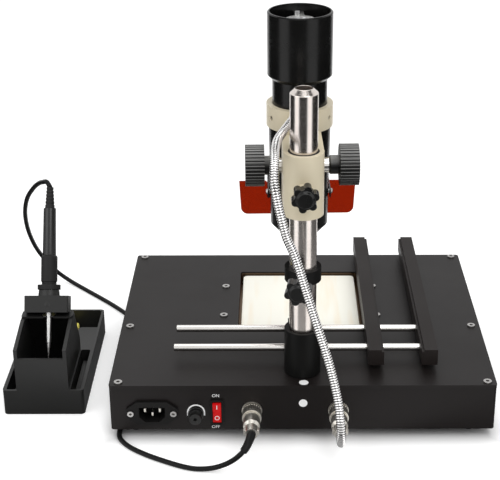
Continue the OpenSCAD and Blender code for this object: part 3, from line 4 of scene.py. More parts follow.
import bpy
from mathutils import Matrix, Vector

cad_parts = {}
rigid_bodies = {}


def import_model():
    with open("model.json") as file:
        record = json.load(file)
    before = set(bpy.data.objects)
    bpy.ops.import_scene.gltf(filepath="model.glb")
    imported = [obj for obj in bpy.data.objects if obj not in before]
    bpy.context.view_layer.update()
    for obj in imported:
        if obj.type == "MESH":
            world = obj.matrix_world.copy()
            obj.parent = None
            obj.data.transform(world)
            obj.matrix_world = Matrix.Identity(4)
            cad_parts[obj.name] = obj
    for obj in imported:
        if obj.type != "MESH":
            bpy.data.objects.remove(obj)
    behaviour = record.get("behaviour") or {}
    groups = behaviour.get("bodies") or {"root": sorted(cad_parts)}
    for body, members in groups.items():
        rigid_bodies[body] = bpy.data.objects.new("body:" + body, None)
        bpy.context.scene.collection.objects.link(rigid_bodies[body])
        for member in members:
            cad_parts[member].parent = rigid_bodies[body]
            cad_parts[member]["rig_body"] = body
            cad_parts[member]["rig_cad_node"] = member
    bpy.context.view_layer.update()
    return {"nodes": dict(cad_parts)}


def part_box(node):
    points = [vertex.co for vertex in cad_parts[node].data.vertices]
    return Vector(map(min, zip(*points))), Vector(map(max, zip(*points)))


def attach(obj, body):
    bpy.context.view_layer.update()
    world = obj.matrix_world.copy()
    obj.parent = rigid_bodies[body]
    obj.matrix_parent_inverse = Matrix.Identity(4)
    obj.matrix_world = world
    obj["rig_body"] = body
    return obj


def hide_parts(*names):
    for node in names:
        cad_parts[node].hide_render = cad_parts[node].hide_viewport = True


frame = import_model()
scene = bpy.context.scene
nodes = frame["nodes"]
mm = 0.001
print("frame loaded with", len(nodes), "nodes")


# the camera stands behind the station, as in the photograph
cameraSet = {"place": (0.02454, 1.18472, 0.67171), "tilt": 65.87, "roll": 0.18, "turn": 180.06,
             "lens": 93.55, "shiftX": -0.0461, "clip": (0.05, 50)}


def makeCamera():
    angles = [math.radians(cameraSet[name]) for name in ("tilt", "roll", "turn")]
    bpy.ops.object.camera_add(location=cameraSet["place"], rotation=angles)
    camera = bpy.context.object
    camera.data.lens = cameraSet["lens"]
    camera.data.shift_x = cameraSet["shiftX"]
    camera.data.clip_start, camera.data.clip_end = cameraSet["clip"]
    scene.camera = camera


makeCamera()
print("camera placed")


# working habits: one object active at a time, modifiers applied, everything riding on a body
weldGap = 1e-6  # points nearer than this many metres become one


def addShape(add, **settings):
    bpy.ops.object.select_all(action='DESELECT')
    add(**settings)
    return bpy.context.object


def makeActive(obj):
    bpy.ops.object.select_all(action='DESELECT')
    obj.select_set(True)
    bpy.context.view_layer.objects.active = obj


def startEdit(obj, pick='SELECT'):
    makeActive(obj)
    bpy.ops.object.mode_set(mode='EDIT')
    bpy.ops.mesh.select_all(action=pick)


def endEdit():
    bpy.ops.object.mode_set(mode='OBJECT')


def applyAll(obj):
    makeActive(obj)
    for modifier in list(obj.modifiers):
        bpy.ops.object.modifier_apply(modifier=modifier.name)


def applyPlace(obj):
    makeActive(obj)
    bpy.ops.object.transform_apply(location=True, rotation=True, scale=True)


def newModifier(obj, kind, **settings):
    makeActive(obj)
    bpy.ops.object.modifier_add(type=kind)
    modifier = obj.modifiers[-1]
    for name, value in settings.items():
        setattr(modifier, name, value)


def smoothShade(obj, angle):
    makeActive(obj)
    bpy.ops.object.shade_smooth_by_angle(angle=math.radians(angle))
    newModifier(obj, 'WEIGHTED_NORMAL', keep_sharp=True)
    applyAll(obj)


def paint(obj, finish):
    obj.data.materials.clear()
    obj.data.materials.append(finish)


def settle(obj, body):
    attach(obj, body)


def dress(obj, finish, body):
    paint(obj, finish)
    settle(obj, body)


# routes of the two leads in millimetres, the same points as the solids follow
routeSteps = 6  # short straight pieces between two of these points
ironLead = {"diameter": 4.8, "exit": (47.3, 184.3, 31), "roundness": 5, "points": [
    (47.3, 184.3, 31), (48, 189.5, 30.9), (49.5, 195, 29.6), (52.3, 200.5, 26.5), (57, 203.5, 22),
    (63, 203.5, 16.4), (71, 201, 10), (82, 198.5, 4.6), (96, 197, 2.6), (109, 193.5, 2.6),
    (127, 184.5, 2.6), (146, 173, 2.6), (162, 160, 2.6), (171.5, 146, 2.6), (173.5, 130, 2.6),
    (173.5, 105, 2.6), (173.5, 75, 2.6), (173.5, 45, 2.6), (173.5, 15, 2.6), (173.5, -15, 2.6),
    (173.5, -45, 2.6), (175, -70, 2.6), (181, -91, 2.6), (194, -110, 2.6), (210, -130, 2.6),
    (227, -149, 2.6), (252, -176, 2.6), (268, -191, 4.5), (282, -193, 15), (292.5, -184, 34),
    (299, -165, 60), (301, -143, 90), (297.5, -118, 121), (288.5, -92, 149), (276, -68, 170.5),
    (265.5, -46, 184.5), (259.05, -30.89, 191.56), (253.05, -21.49, 195.46), (249.05, -15.89, 192.06)]}
# one rib: its pitch in millimetres, the valley's share of the diameter, then shares of the pitch
lampHose = {"diameter": 8.2, "exit": (-33.3, 184.3, 31), "coats": ("armourSteel", "armourSeamShade"),
            "rib": 2.3, "valley": 0.86, "seam": 0.32, "flank": 0.22, "crest": 0.24,
            "sides": 16, "weld": 1e-5, "smooth": 60, "points": [
    (-33.3, 184.3, 31), (-33.3, 196, 31.3), (-33, 207, 36.5), (-32.5, 213.5, 48), (-31.5, 214.5, 62),
    (-29, 209, 82), (-21.5, 199.5, 112), (-12, 190, 141), (-2, 181.5, 171), (8, 175, 203),
    (15, 173.5, 219.3), (17.5, 173, 228.4), (19.6, 172, 237.2), (21.7, 170.5, 245.7), (23.4, 168.5, 253.9),
    (25, 166, 262), (25.8, 161.5, 269.2), (25.7, 155, 275.7), (25.4, 145.5, 281.1), (24.9, 133, 285.6),
    (22.8, 118.5, 289.4), (16.6, 103, 293.1), (7.6, 88, 300.5), (3.71, 76.72, 306.8), (1.21, 68.72, 307.5)]}


def smoothRoute(points):
    places = [Vector(p) * mm for p in points]
    route = []
    for i in range(len(places) - 1):
        a = places[max(i - 1, 0)]
        b = places[i]
        c = places[i + 1]
        d = places[min(i + 2, len(places) - 1)]
        for k in range(routeSteps):
            t = k / routeSteps
            route.append(0.5 * (2 * b + (c - a) * t + (2 * a - 5 * b + 4 * c - d) * t ** 2
                                + (3 * b - a - 3 * c + d) * t ** 3))
    return route + [places[-1]]


def routeLength(route):
    return sum((b - a).length for a, b in zip(route, route[1:]))


def routeCurve(name, route):
    data = bpy.data.curves.new(name, 'CURVE')
    data.dimensions = '3D'
    spline = data.splines.new('POLY')
    spline.points.add(len(route) - 1)
    for point, place in zip(spline.points, route):
        point.co = (*place, 1)
    curve = bpy.data.objects.new(name, data)
    scene.collection.objects.link(curve)
    return curve


def makeIronLead():
    route = smoothRoute(ironLead["points"])
    lead = routeCurve("ironLead", route)
    lead.data.bevel_depth = ironLead["diameter"] * mm / 2
    lead.data.bevel_resolution = ironLead["roundness"]
    lead.data.use_fill_caps = True
    return lead, route


# one turn of the armour is modelled, then repeated along the route
def makeLampHose():
    route = smoothRoute(lampHose["points"])
    guide = routeCurve("hoseGuide", route)
    turns = round(routeLength(route) / (lampHose["rib"] * mm))
    pitch = routeLength(route) / turns
    outer = lampHose["diameter"] * mm / 2
    hose = addShape(bpy.ops.mesh.primitive_circle_add, vertices=lampHose["sides"],
                    radius=outer * lampHose["valley"], rotation=(0, math.pi / 2, 0))
    hose.name = "lampHose"
    applyPlace(hose)
    startEdit(hose)
    rise = 1 / lampHose["valley"]
    for band, grow in (("seam", 1), ("flank", rise), ("crest", 1), ("flank", 1 / rise)):
        step = pitch * lampHose[band]
        bpy.ops.mesh.extrude_region_move(TRANSFORM_OT_translate={"value": (step, 0, 0)})
        bpy.ops.transform.resize(value=(1, grow, grow), center_override=(0, 0, 0))
    endEdit()
    for coat in lampHose["coats"]:
        hose.data.materials.append(None)  # filled when the finishes are mixed
    # the seam band, the groove between turns, takes the second coat, which is painted shade
    for face in hose.data.polygons:
        face.material_index = 1 if face.center.x < pitch * lampHose["seam"] else 0
    newModifier(hose, 'ARRAY', count=turns, use_relative_offset=False, use_constant_offset=True,
                constant_offset_displace=(pitch, 0, 0), use_merge_vertices=True,
                merge_threshold=lampHose["weld"])
    newModifier(hose, 'CURVE', object=guide, deform_axis='POS_X')
    applyAll(hose)
    startEdit(hose, 'DESELECT')
    bpy.ops.mesh.select_mode(type='EDGE')
    bpy.ops.mesh.select_non_manifold()
    bpy.ops.mesh.edge_face_add()
    bpy.ops.mesh.select_all(action='SELECT')
    bpy.ops.mesh.normals_make_consistent(inside=False)
    endEdit()
    bpy.data.objects.remove(guide)
    makeActive(hose)
    bpy.ops.object.shade_smooth_by_angle(angle=math.radians(lampHose["smooth"]))
    return hose, route


ironCord, ironRoute = makeIronLead()
hoseMesh, hoseRoute = makeLampHose()
print("leads laid: iron", round(routeLength(ironRoute), 3), "m, lamp",
      round(routeLength(hoseRoute), 3), "m")


# shader building blocks
def addNode(tree, kind, values=None, **settings):
    node = tree.nodes.new(kind)
    for name, value in settings.items():
        setattr(node, name, value)
    for name, value in (values or {}).items():
        node.inputs[name].default_value = value
    return node


def makeGroup(name, inputs, outputs):
    group = bpy.data.node_groups.new(name, 'ShaderNodeTree')
    for label, kind in inputs:
        group.interface.new_socket(label, in_out='INPUT', socket_type=kind)
    for label in outputs:
        group.interface.new_socket(label, in_out='OUTPUT', socket_type='NodeSocketFloat')
    return group, addNode(group, 'NodeGroupInput'), addNode(group, 'NodeGroupOutput')


# fine grain for bump and slow clouds for colour and gloss
grainDetail = {"Grain": 2, "Cloud": 4}


def makeGrainGroup():
    group, start, end = makeGroup("surfaceGrain", [("Vector", 'NodeSocketVector'),
                                  ("Grain Scale", 'NodeSocketFloat'), ("Cloud Scale", 'NodeSocketFloat')],
                                  ["Grain", "Cloud"])
    for label, detail in grainDetail.items():
        noise = addNode(group, 'ShaderNodeTexNoise', {"Detail": detail, "Roughness": 0.55})
        group.links.new(start.outputs["Vector"], noise.inputs["Vector"])
        group.links.new(start.outputs[label + " Scale"], noise.inputs["Scale"])
        group.links.new(noise.outputs["Fac"], end.inputs[label])
    return group


# long fine lines left by drawing, turning or brushing, and far wider bands of the same
lineScale = {"Lines": 1, "Bands": 0.07}


def makeLinesGroup():
    group, start, end = makeGroup("drawnLines", [("Vector", 'NodeSocketVector'),
                                  ("Stretch", 'NodeSocketVector')], ["Lines", "Bands"])
    stretched = addNode(group, 'ShaderNodeVectorMath', operation='MULTIPLY')
    group.links.new(start.outputs["Vector"], stretched.inputs[0])
    group.links.new(start.outputs["Stretch"], stretched.inputs[1])
    for label, scale in lineScale.items():
        noise = addNode(group, 'ShaderNodeTexNoise', {"Scale": scale, "Detail": 3})
        group.links.new(stretched.outputs["Vector"], noise.inputs["Vector"])
        group.links.new(noise.outputs["Fac"], end.inputs[label])
    return group


grainGroup = makeGrainGroup()
linesGroup = makeLinesGroup()


def startFinish(name):
    finish = bpy.data.materials.new(name)
    finish.use_nodes = True
    tree = finish.node_tree
    coords = addNode(tree, 'ShaderNodeTexCoord')
    return finish, tree, tree.nodes["Principled BSDF"], coords.outputs["Object"]


# where a Mix node keeps its colour sockets
mixPlace = {"mask": 0, "low": 6, "high": 7, "result": 2}


def mixColors(tree, mask, low, high, target):
    mix = addNode(tree, 'ShaderNodeMix', data_type='RGBA')
    mix.inputs[mixPlace["low"]].default_value = (*low, 1)
    mix.inputs[mixPlace["high"]].default_value = (*high, 1)
    tree.links.new(mask, mix.inputs[mixPlace["mask"]])
    tree.links.new(mix.outputs[mixPlace["result"]], target)
    return mix


# the middle of a noise's range, where most of it lies, is spread over a gloss range
noiseSpan = {"From Min": 0.3, "From Max": 0.7}


def spread(tree, mask, low, high, target):
    ranged = addNode(tree, 'ShaderNodeMapRange', {**noiseSpan, "To Min": low, "To Max": high})
    tree.links.new(mask, ranged.inputs["Value"])
    tree.links.new(ranged.outputs["Result"], target)


def addBump(tree, height, strength, distance, shader):
    bump = addNode(tree, 'ShaderNodeBump', {"Strength": strength, "Distance": distance})
    tree.links.new(height, bump.inputs["Height"])
    tree.links.new(bump.outputs["Normal"], shader.inputs["Normal"])


# painted light: a paler base colour on the faces that look upwards, standing in for light from above, from
# steep ones to level ones
paintedTopLightSpan = {"From Min": 0.25, "From Max": 1}


def addPaintedTopLight(tree, color, dust, target):
    coords = addNode(tree, 'ShaderNodeTexCoord')
    facing = addNode(tree, 'ShaderNodeSeparateXYZ')
    tree.links.new(coords.outputs["Normal"], facing.inputs[0])
    ranged = addNode(tree, 'ShaderNodeMapRange', paintedTopLightSpan)
    tree.links.new(facing.outputs["Z"], ranged.inputs["Value"])
    mix = mixColors(tree, ranged.outputs["Result"], dust, dust, target)
    tree.links.new(color.outputs[mixPlace["result"]], mix.inputs[mixPlace["low"]])


bumpDepth = {"coat": 0.0002, "metal": 0.0001}  # metres


# paints, plastics and rubbers: two near colours, a gloss range and a fine grain
def coatedFinish(name, look):
    finish, tree, shader, coords = startFinish(name)
    grain = addNode(tree, 'ShaderNodeGroup', node_tree=grainGroup)
    tree.links.new(coords, grain.inputs["Vector"])
    grain.inputs["Grain Scale"].default_value = look["grain"]
    grain.inputs["Cloud Scale"].default_value = look["cloud"]
    color = mixColors(tree, grain.outputs["Cloud"], look["low"], look["high"], shader.inputs["Base Color"])
    # painted light: a finish may be painted paler on its upward faces, as if lit from above
    if "dust" in look:
        addPaintedTopLight(tree, color, look["dust"], shader.inputs["Base Color"])
    spread(tree, grain.outputs["Cloud"], *look["rough"], shader.inputs["Roughness"])
    addBump(tree, grain.outputs["Grain"], look["bump"], look.get("depth", bumpDepth["coat"]), shader)
    shader.inputs["Specular IOR Level"].default_value = look.get("gloss", 0.5)
    return finish


# bare metals: lines along the working direction over slow tarnish
def metalFinish(name, look):
    finish, tree, shader, coords = startFinish(name)
    lines = addNode(tree, 'ShaderNodeGroup', node_tree=linesGroup)
    tree.links.new(coords, lines.inputs["Vector"])
    lines.inputs["Stretch"].default_value = look["stretch"]
    mixColors(tree, lines.outputs["Bands"], look["low"], look["high"], shader.inputs["Base Color"])
    spread(tree, lines.outputs["Lines"], *look["rough"], shader.inputs["Roughness"])
    addBump(tree, lines.outputs["Lines"], look["bump"], bumpDepth["metal"], shader)
    shader.inputs["Metallic"].default_value = 1
    return finish


coatLooks = {
    "casePaint": {"low": (0.007, 0.0052, 0.005), "high": (0.0095, 0.0074, 0.007), "rough": (0.38, 0.48),
                  "grain": 1800, "cloud": 9, "bump": 0.08, "gloss": 0.19},
    "barBlack": {"low": (0.013, 0.0102, 0.0095), "high": (0.018, 0.0145, 0.0135), "rough": (0.38, 0.48),
                 "grain": 2200, "cloud": 14, "bump": 0.08, "gloss": 0.1},
    "socketBlack": {"low": (0.004, 0.004, 0.004), "high": (0.007, 0.007, 0.0065), "rough": (0.4, 0.5),
                    "grain": 1500, "cloud": 20, "bump": 0.05, "gloss": 0.1},
    "lampBlack": {"low": (0.0035, 0.0035, 0.0034), "high": (0.0055, 0.0055, 0.0053), "rough": (0.2, 0.3),
                  "grain": 2500, "cloud": 16, "bump": 0.04, "gloss": 0.26},
    "creamEnamel": {"low": (0.64, 0.565, 0.41), "high": (0.69, 0.62, 0.465), "rough": (0.34, 0.46),
                    "grain": 700, "cloud": 18, "bump": 0.08, "depth": 0.0003, "gloss": 0.4},
    "knobBlack": {"low": (0.005, 0.005, 0.005), "high": (0.009, 0.009, 0.0085), "rough": (0.24, 0.36),
                  "grain": 1600, "cloud": 30, "bump": 0.1, "gloss": 0.42},
    # the focus knobs' ribs carry painted light: their upward faces are painted pale grey, standing in for
    # light from above
    "ribBlack": {"low": (0.006, 0.006, 0.006), "high": (0.01, 0.01, 0.0095), "rough": (0.26, 0.38),
                 "grain": 1600, "cloud": 30, "bump": 0.1, "gloss": 0.24, "dust": (0.24, 0.24, 0.235)},
    "standPlastic": {"low": (0.008, 0.008, 0.0077), "high": (0.012, 0.012, 0.0115), "rough": (0.36, 0.46),
                     "grain": 1400, "cloud": 12, "bump": 0.15, "gloss": 0.36},
    "handleBlack": {"low": (0.006, 0.006, 0.006), "high": (0.009, 0.009, 0.009), "rough": (0.2, 0.3),
                    "grain": 1200, "cloud": 20, "bump": 0.05, "gloss": 0.4},
    "fittingBlack": {"low": (0.007, 0.0066, 0.0064), "high": (0.01, 0.0095, 0.0092), "rough": (0.4, 0.5),
                     "grain": 1200, "cloud": 30, "bump": 0.06, "gloss": 0.12},
    "softRubber": {"low": (0.006, 0.006, 0.006), "high": (0.011, 0.011, 0.0105), "rough": (0.46, 0.6),
                   "grain": 1500, "cloud": 25, "bump": 0.18, "gloss": 0.25},
    "leadRubber": {"low": (0.005, 0.005, 0.005), "high": (0.009, 0.009, 0.009), "rough": (0.34, 0.46),
                   "grain": 1300, "cloud": 40, "bump": 0.1, "gloss": 0.13},
    "redRocker": {"low": (0.6, 0.006, 0.008), "high": (0.7, 0.012, 0.012), "rough": (0.2, 0.28),
                  "grain": 900, "cloud": 60, "bump": 0.03, "gloss": 0.1},
    "printWhite": {"low": (0.86, 0.86, 0.86), "high": (0.93, 0.93, 0.93), "rough": (0.45, 0.55),
                   "grain": 1500, "cloud": 90, "bump": 0.05},
    "panelFilm": {"low": (0.012, 0.013, 0.017), "high": (0.018, 0.02, 0.025), "rough": (0.35, 0.45),
                  "grain": 2400, "cloud": 20, "bump": 0.06, "gloss": 0.25},
    "displayRed": {"low": (0.03, 0.003, 0.003), "high": (0.05, 0.005, 0.004), "rough": (0.06, 0.1),
                   "grain": 400, "cloud": 30, "bump": 0.01, "gloss": 0.3},
    "buttonGrey": {"low": (0.5, 0.5, 0.5), "high": (0.58, 0.58, 0.57), "rough": (0.4, 0.5),
                   "grain": 1500, "cloud": 60, "bump": 0.1},
    "windingTape": {"low": (0.4, 0.22, 0.05), "high": (0.55, 0.34, 0.1), "rough": (0.3, 0.5),
                    "grain": 500, "cloud": 40, "bump": 0.3},
    "boardGreen": {"low": (0.015, 0.11, 0.04), "high": (0.025, 0.16, 0.06), "rough": (0.35, 0.5),
                   "grain": 900, "cloud": 50, "bump": 0.2}}

metalLooks = {
    "polishedColumn": {"low": (0.64, 0.575, 0.54), "high": (0.8, 0.745, 0.7), "rough": (0.19, 0.27),
                       "stretch": (25, 25, 900), "bump": 0.05},
    "polishedRod": {"low": (0.64, 0.62, 0.59), "high": (0.78, 0.76, 0.73), "rough": (0.08, 0.18),
                    "stretch": (900, 25, 25), "bump": 0.04},
    "screwSteel": {"low": (0.36, 0.35, 0.34), "high": (0.46, 0.45, 0.44), "rough": (0.26, 0.38),
                   "stretch": (600, 600, 600), "bump": 0.05},
    "strapSteel": {"low": (0.55, 0.55, 0.54), "high": (0.66, 0.66, 0.65), "rough": (0.24, 0.38),
                   "stretch": (900, 900, 30), "bump": 0.08},
    "armourSteel": {"low": (0.74, 0.73, 0.72), "high": (0.88, 0.87, 0.86), "rough": (0.08, 0.18),
                    "stretch": (300, 300, 300), "bump": 0.02},
    # the grooves between the hose's turns are near black: painted shade in the recesses
    "armourSeamShade": {"low": (0.05, 0.048, 0.046), "high": (0.1, 0.098, 0.095), "rough": (0.3, 0.45),
                   "stretch": (300, 300, 300), "bump": 0.03},
    "nickelPlate": {"low": (0.66, 0.63, 0.57), "high": (0.78, 0.75, 0.69), "rough": (0.28, 0.4),
                    "stretch": (60, 700, 60), "bump": 0.04},
    "tintedPan": {"low": (0.14, 0.09, 0.055), "high": (0.24, 0.175, 0.12), "rough": (0.28, 0.42),
                  "stretch": (40, 40, 500), "bump": 0.06},
    "machinedBrass": {"low": (0.55, 0.36, 0.12), "high": (0.7, 0.5, 0.2), "rough": (0.2, 0.32),
                      "stretch": (400, 60, 400), "bump": 0.06},
    "tipPlate": {"low": (0.33, 0.32, 0.31), "high": (0.45, 0.44, 0.43), "rough": (0.3, 0.45),
                 "stretch": (500, 500, 500), "bump": 0.1},
    "reflectorCoat": {"low": (0.7, 0.7, 0.72), "high": (0.8, 0.8, 0.83), "rough": (0.06, 0.12),
                      "stretch": (200, 200, 200), "bump": 0.02}}

finishes = {name: coatedFinish(name, look) for name, look in coatLooks.items()}
finishes.update({name: metalFinish(name, look) for name, look in metalLooks.items()})


# fired plate with faint streaks from front to rear
ceramicLook = {"pale": (0.98, 0.965, 0.87), "warm": (0.95, 0.83, 0.64), "streaks": (70, 6, 20),
               "span": {"From Min": 0.48, "From Max": 0.78}, "rough": (0.5, 0.65),
               "bump": 0.1, "depth": 0.0003}


def makeCeramic():
    finish, tree, shader, coords = startFinish("firedCeramic")
    lines = addNode(tree, 'ShaderNodeGroup', node_tree=linesGroup)
    tree.links.new(coords, lines.inputs["Vector"])
    lines.inputs["Stretch"].default_value = ceramicLook["streaks"]
    sharper = addNode(tree, 'ShaderNodeMapRange', ceramicLook["span"])
    tree.links.new(lines.outputs["Lines"], sharper.inputs["Value"])
    mixColors(tree, sharper.outputs["Result"], ceramicLook["pale"], ceramicLook["warm"],
              shader.inputs["Base Color"])
    spread(tree, lines.outputs["Lines"], *ceramicLook["rough"], shader.inputs["Roughness"])
    addBump(tree, lines.outputs["Lines"], ceramicLook["bump"], ceramicLook["depth"], shader)
    return finish


# clear and tinted sheets
glassLooks = {
    "redAcrylic": {"color": (0.25, 0.013, 0.002), "rough": (0.05, 0.1), "cloud": 25,
                   "through": 0.8, "index": 1.12, "gloss": 0.1},
    "lensGlass": {"color": (0.9, 0.97, 0.96), "rough": (0.01, 0.03), "cloud": 25,
                  "through": 1, "index": 1.5, "gloss": 0.5}}


def makeGlass(name, look):
    finish, tree, shader, coords = startFinish(name)
    grain = addNode(tree, 'ShaderNodeGroup', node_tree=grainGroup)
    tree.links.new(coords, grain.inputs["Vector"])
    grain.inputs["Cloud Scale"].default_value = look["cloud"]
    spread(tree, grain.outputs["Cloud"], *look["rough"], shader.inputs["Roughness"])
    shader.inputs["Base Color"].default_value = (*look["color"], 1)
    shader.inputs["Transmission Weight"].default_value = look["through"]
    shader.inputs["IOR"].default_value = look["index"]
    shader.inputs["Specular IOR Level"].default_value = look["gloss"]
    return finish


# open cellulose sponge
spongeLook = {"low": (0.72, 0.6, 0.08), "high": (0.92, 0.84, 0.2), "pores": 420, "rough": 0.9,
              "bump": 0.6, "depth": 0.0008}


def makeSpongeFinish():
    finish, tree, shader, coords = startFinish("cellulose")
    pores = addNode(tree, 'ShaderNodeTexVoronoi', {"Scale": spongeLook["pores"]})
    tree.links.new(coords, pores.inputs["Vector"])
    mixColors(tree, pores.outputs["Distance"], spongeLook["low"], spongeLook["high"],
              shader.inputs["Base Color"])
    addBump(tree, pores.outputs["Distance"], spongeLook["bump"], spongeLook["depth"], shader)
    shader.inputs["Roughness"].default_value = spongeLook["rough"]
    return finish


finishes["firedCeramic"] = makeCeramic()
finishes["cellulose"] = makeSpongeFinish()
for glassName, glassLook in glassLooks.items():
    finishes[glassName] = makeGlass(glassName, glassLook)
print("finishes mixed:", len(finishes))


# every rigid solid gets a finish; one with an edge width, in millimetres, is shown by a copy with its
# edges broken
nodeFinish = {
    "casePaint": {"chassis": 0.5, "top_plate": 1.1},
    "barBlack": {"clamp_bar_inner": 0.5, "clamp_bar_outer": 0.5, "rod_block": 0.5},
    "socketBlack": {"column_socket": 0.5, "stop_collar": 0.8},
    "lampBlack": {"lamp_tube": 0.4, "lamp_cup": 0.4, "shield_bracket": 0.2},
    "creamEnamel": {"holder_body": 1.8, "lamp_ring": 0.9},
    "knobBlack": {"holder_knob": 1.1, "collar_knob": 1.1, "iron_dial": 0.4,
                  "fuse_holder": 0.4, "fuse_cap": 0.4},
    "ribBlack": {"focus_knobs": 0.35},
    "standPlastic": {"stand_body": 0.8, "stand_receptacle": 1.2},
    "handleBlack": {"iron_handle": 0.4},
    "fittingBlack": {"switch_frame": 0.4, "power_inlet": 0.5, "column_bush": 0.3},
    "softRubber": {"feet": 0.8, "iron_grip": 1.2, "iron_tail": 0.5},
    "leadRubber": {"iron_boot": 0.3},
    "redRocker": {"switch_rocker": 0.4},
    "panelFilm": {"front_panel": 0.2},
    "displayRed": {"displays": 0.2},
    "buttonGrey": {"button_set": 0.6, "button_up": 0.6, "button_down": 0.6},
    "windingTape": {"transformer": 0},
    "boardGreen": {"control_board": 0},
    "polishedColumn": {"column": 0.4},
    "polishedRod": {"guide_rods": 0.2, "pinion_shaft": 0.15},
    "screwSteel": {"case_screws": 0.2, "lamp_screws": 0.15},
    "strapSteel": {"bulb_clip": 0.15, "iron_barrel": 0.2},
    "nickelPlate": {"iron_socket": 0.3, "lamp_socket": 0.3, "iron_plug": 0.3, "lamp_plug": 0.3,
                    "iron_plug_ring": 0.15, "lamp_plug_ring": 0.15, "hose_gland": 0.3, "inlet_pins": 0.3},
    "tintedPan": {"heater_pan": 0.3},
    "machinedBrass": {"focus_rack": 0.1},
    "tipPlate": {"iron_tip": 0.1},
    "reflectorCoat": {"bulb": 0.3},
    "firedCeramic": {"heater_plate": 0.8},
    "redAcrylic": {"shield": 0.35},
    "lensGlass": {"lens": 0}}


def pieceName(node):
    words = node.split("_")
    return words[0] + "".join(word.capitalize() for word in words[1:])


# a merged copy of the solid, with its edges broken as on the real piece
edgeSet = {"flat": 0.6, "sharp": 32, "smooth": 40, "segments": 2}  # three angles, and faces across


def brokenEdges(nodeName, width, finish):
    node = nodes[nodeName]
    makeActive(node)
    bpy.ops.object.duplicate()
    piece = bpy.context.object
    piece.name = pieceName(nodeName)
    piece.parent = None
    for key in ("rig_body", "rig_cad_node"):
        del piece[key]
    startEdit(piece)
    bpy.ops.mesh.customdata_custom_splitnormals_clear()
    bpy.ops.mesh.remove_doubles(threshold=weldGap)
    bpy.ops.mesh.dissolve_limited(angle_limit=math.radians(edgeSet["flat"]))
    endEdit()
    newModifier(piece, 'BEVEL', width=width * mm, segments=edgeSet["segments"], limit_method='ANGLE',
                angle_limit=math.radians(edgeSet["sharp"]), use_clamp_overlap=True)
    applyAll(piece)
    smoothShade(piece, edgeSet["smooth"])
    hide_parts(nodeName)
    dress(piece, finish, node["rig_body"])
    return piece


pieces = {}
for finishName, members in nodeFinish.items():
    for nodeName, width in members.items():
        if width:
            pieces[nodeName] = brokenEdges(nodeName, width, finishes[finishName])
        else:
            paint(nodes[nodeName], finishes[finishName])
print("solids finished:", len(pieces), "with broken edges")


# the two leads take their finish, ride on the root body, and the CAD leads they stand for are hidden
def declareLead(lead, node):
    settle(lead, "root")
    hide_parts(node)


paint(ironCord, finishes["leadRubber"])
declareLead(ironCord, "iron_cord")
for i, coat in enumerate(lampHose["coats"]):
    hoseMesh.data.materials[i] = finishes[coat]
declareLead(hoseMesh, "lamp_hose")


# damp sponge in the tray, cut square with soft worn edges
spongeSet = {"edge": 2.5, "edgeSegments": 3, "cuts": 24, "pore": 4, "sink": 0.9}


def makeSponge():
    low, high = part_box("sponge")
    sponge = addShape(bpy.ops.mesh.primitive_cube_add, size=1, location=(low + high) / 2)
    sponge.name = "spongePad"
    sponge.scale = high - low
    applyPlace(sponge)
    newModifier(sponge, 'BEVEL', width=spongeSet["edge"] * mm, segments=spongeSet["edgeSegments"])
    applyAll(sponge)
    startEdit(sponge)
    bpy.ops.mesh.subdivide(number_cuts=spongeSet["cuts"])
    endEdit()
    clouds = bpy.data.textures.new("spongePores", 'CLOUDS')
    clouds.noise_scale = spongeSet["pore"] * mm
    newModifier(sponge, 'DISPLACE', texture=clouds, strength=-spongeSet["sink"] * mm, mid_level=0,
                texture_coords='LOCAL')
    applyAll(sponge)
    makeActive(sponge)
    bpy.ops.object.shade_smooth()
    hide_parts("sponge")
    dress(sponge, finishes["cellulose"], "root")


makeSponge()


# flat marks: two blank round stickers, an arc over the fuse, ON and OFF, and the rocker's signs
markSet = {"thick": 0.12, "lidSticker": (-0.9, 138.4, 4.4), "wallSticker": (-0.4, 38.2, 4.0),
           "stickerSides": 48, "stickerEdge": 0.04,
           "arc": {"x": 99.6, "z": 28.5, "outer": 8.5, "inner": 7.1, "leg": 3.4, "steps": 32},
           "onText": (81.0, 46.2), "offText": (81.4, 12.6), "textSize": 4.4}
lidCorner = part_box("top_plate")[1]
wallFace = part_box("chassis")[1].y


def finishMark(mark, name, body="root"):
    mark.name = name
    dress(mark, finishes["printWhite"], body)


def makeSticker(name, centre, facing, radius):
    sticker = addShape(bpy.ops.mesh.primitive_circle_add, vertices=markSet["stickerSides"],
                       radius=radius * mm, fill_type='NGON', location=centre, rotation=facing)
    applyPlace(sticker)
    startEdit(sticker)
    normal = Vector((0, 0, 1)) if facing[0] == 0 else Vector((0, 1, 0))
    bpy.ops.mesh.extrude_region_move(TRANSFORM_OT_translate={"value": normal * markSet["thick"] * mm})
    bpy.ops.mesh.select_all(action='SELECT')
    bpy.ops.mesh.normals_make_consistent(inside=False)
    endEdit()
    newModifier(sticker, 'BEVEL', width=markSet["stickerEdge"] * mm, segments=2, limit_method='ANGLE')
    applyAll(sticker)
    finishMark(sticker, name)


x, y, radius = markSet["lidSticker"]
makeSticker("lidSticker", (x * mm, y * mm, lidCorner.z), (0, 0, 0), radius)
x, z, radius = markSet["wallSticker"]
makeSticker("wallSticker", (x * mm, wallFace, z * mm), (-math.pi / 2, 0, 0), radius)


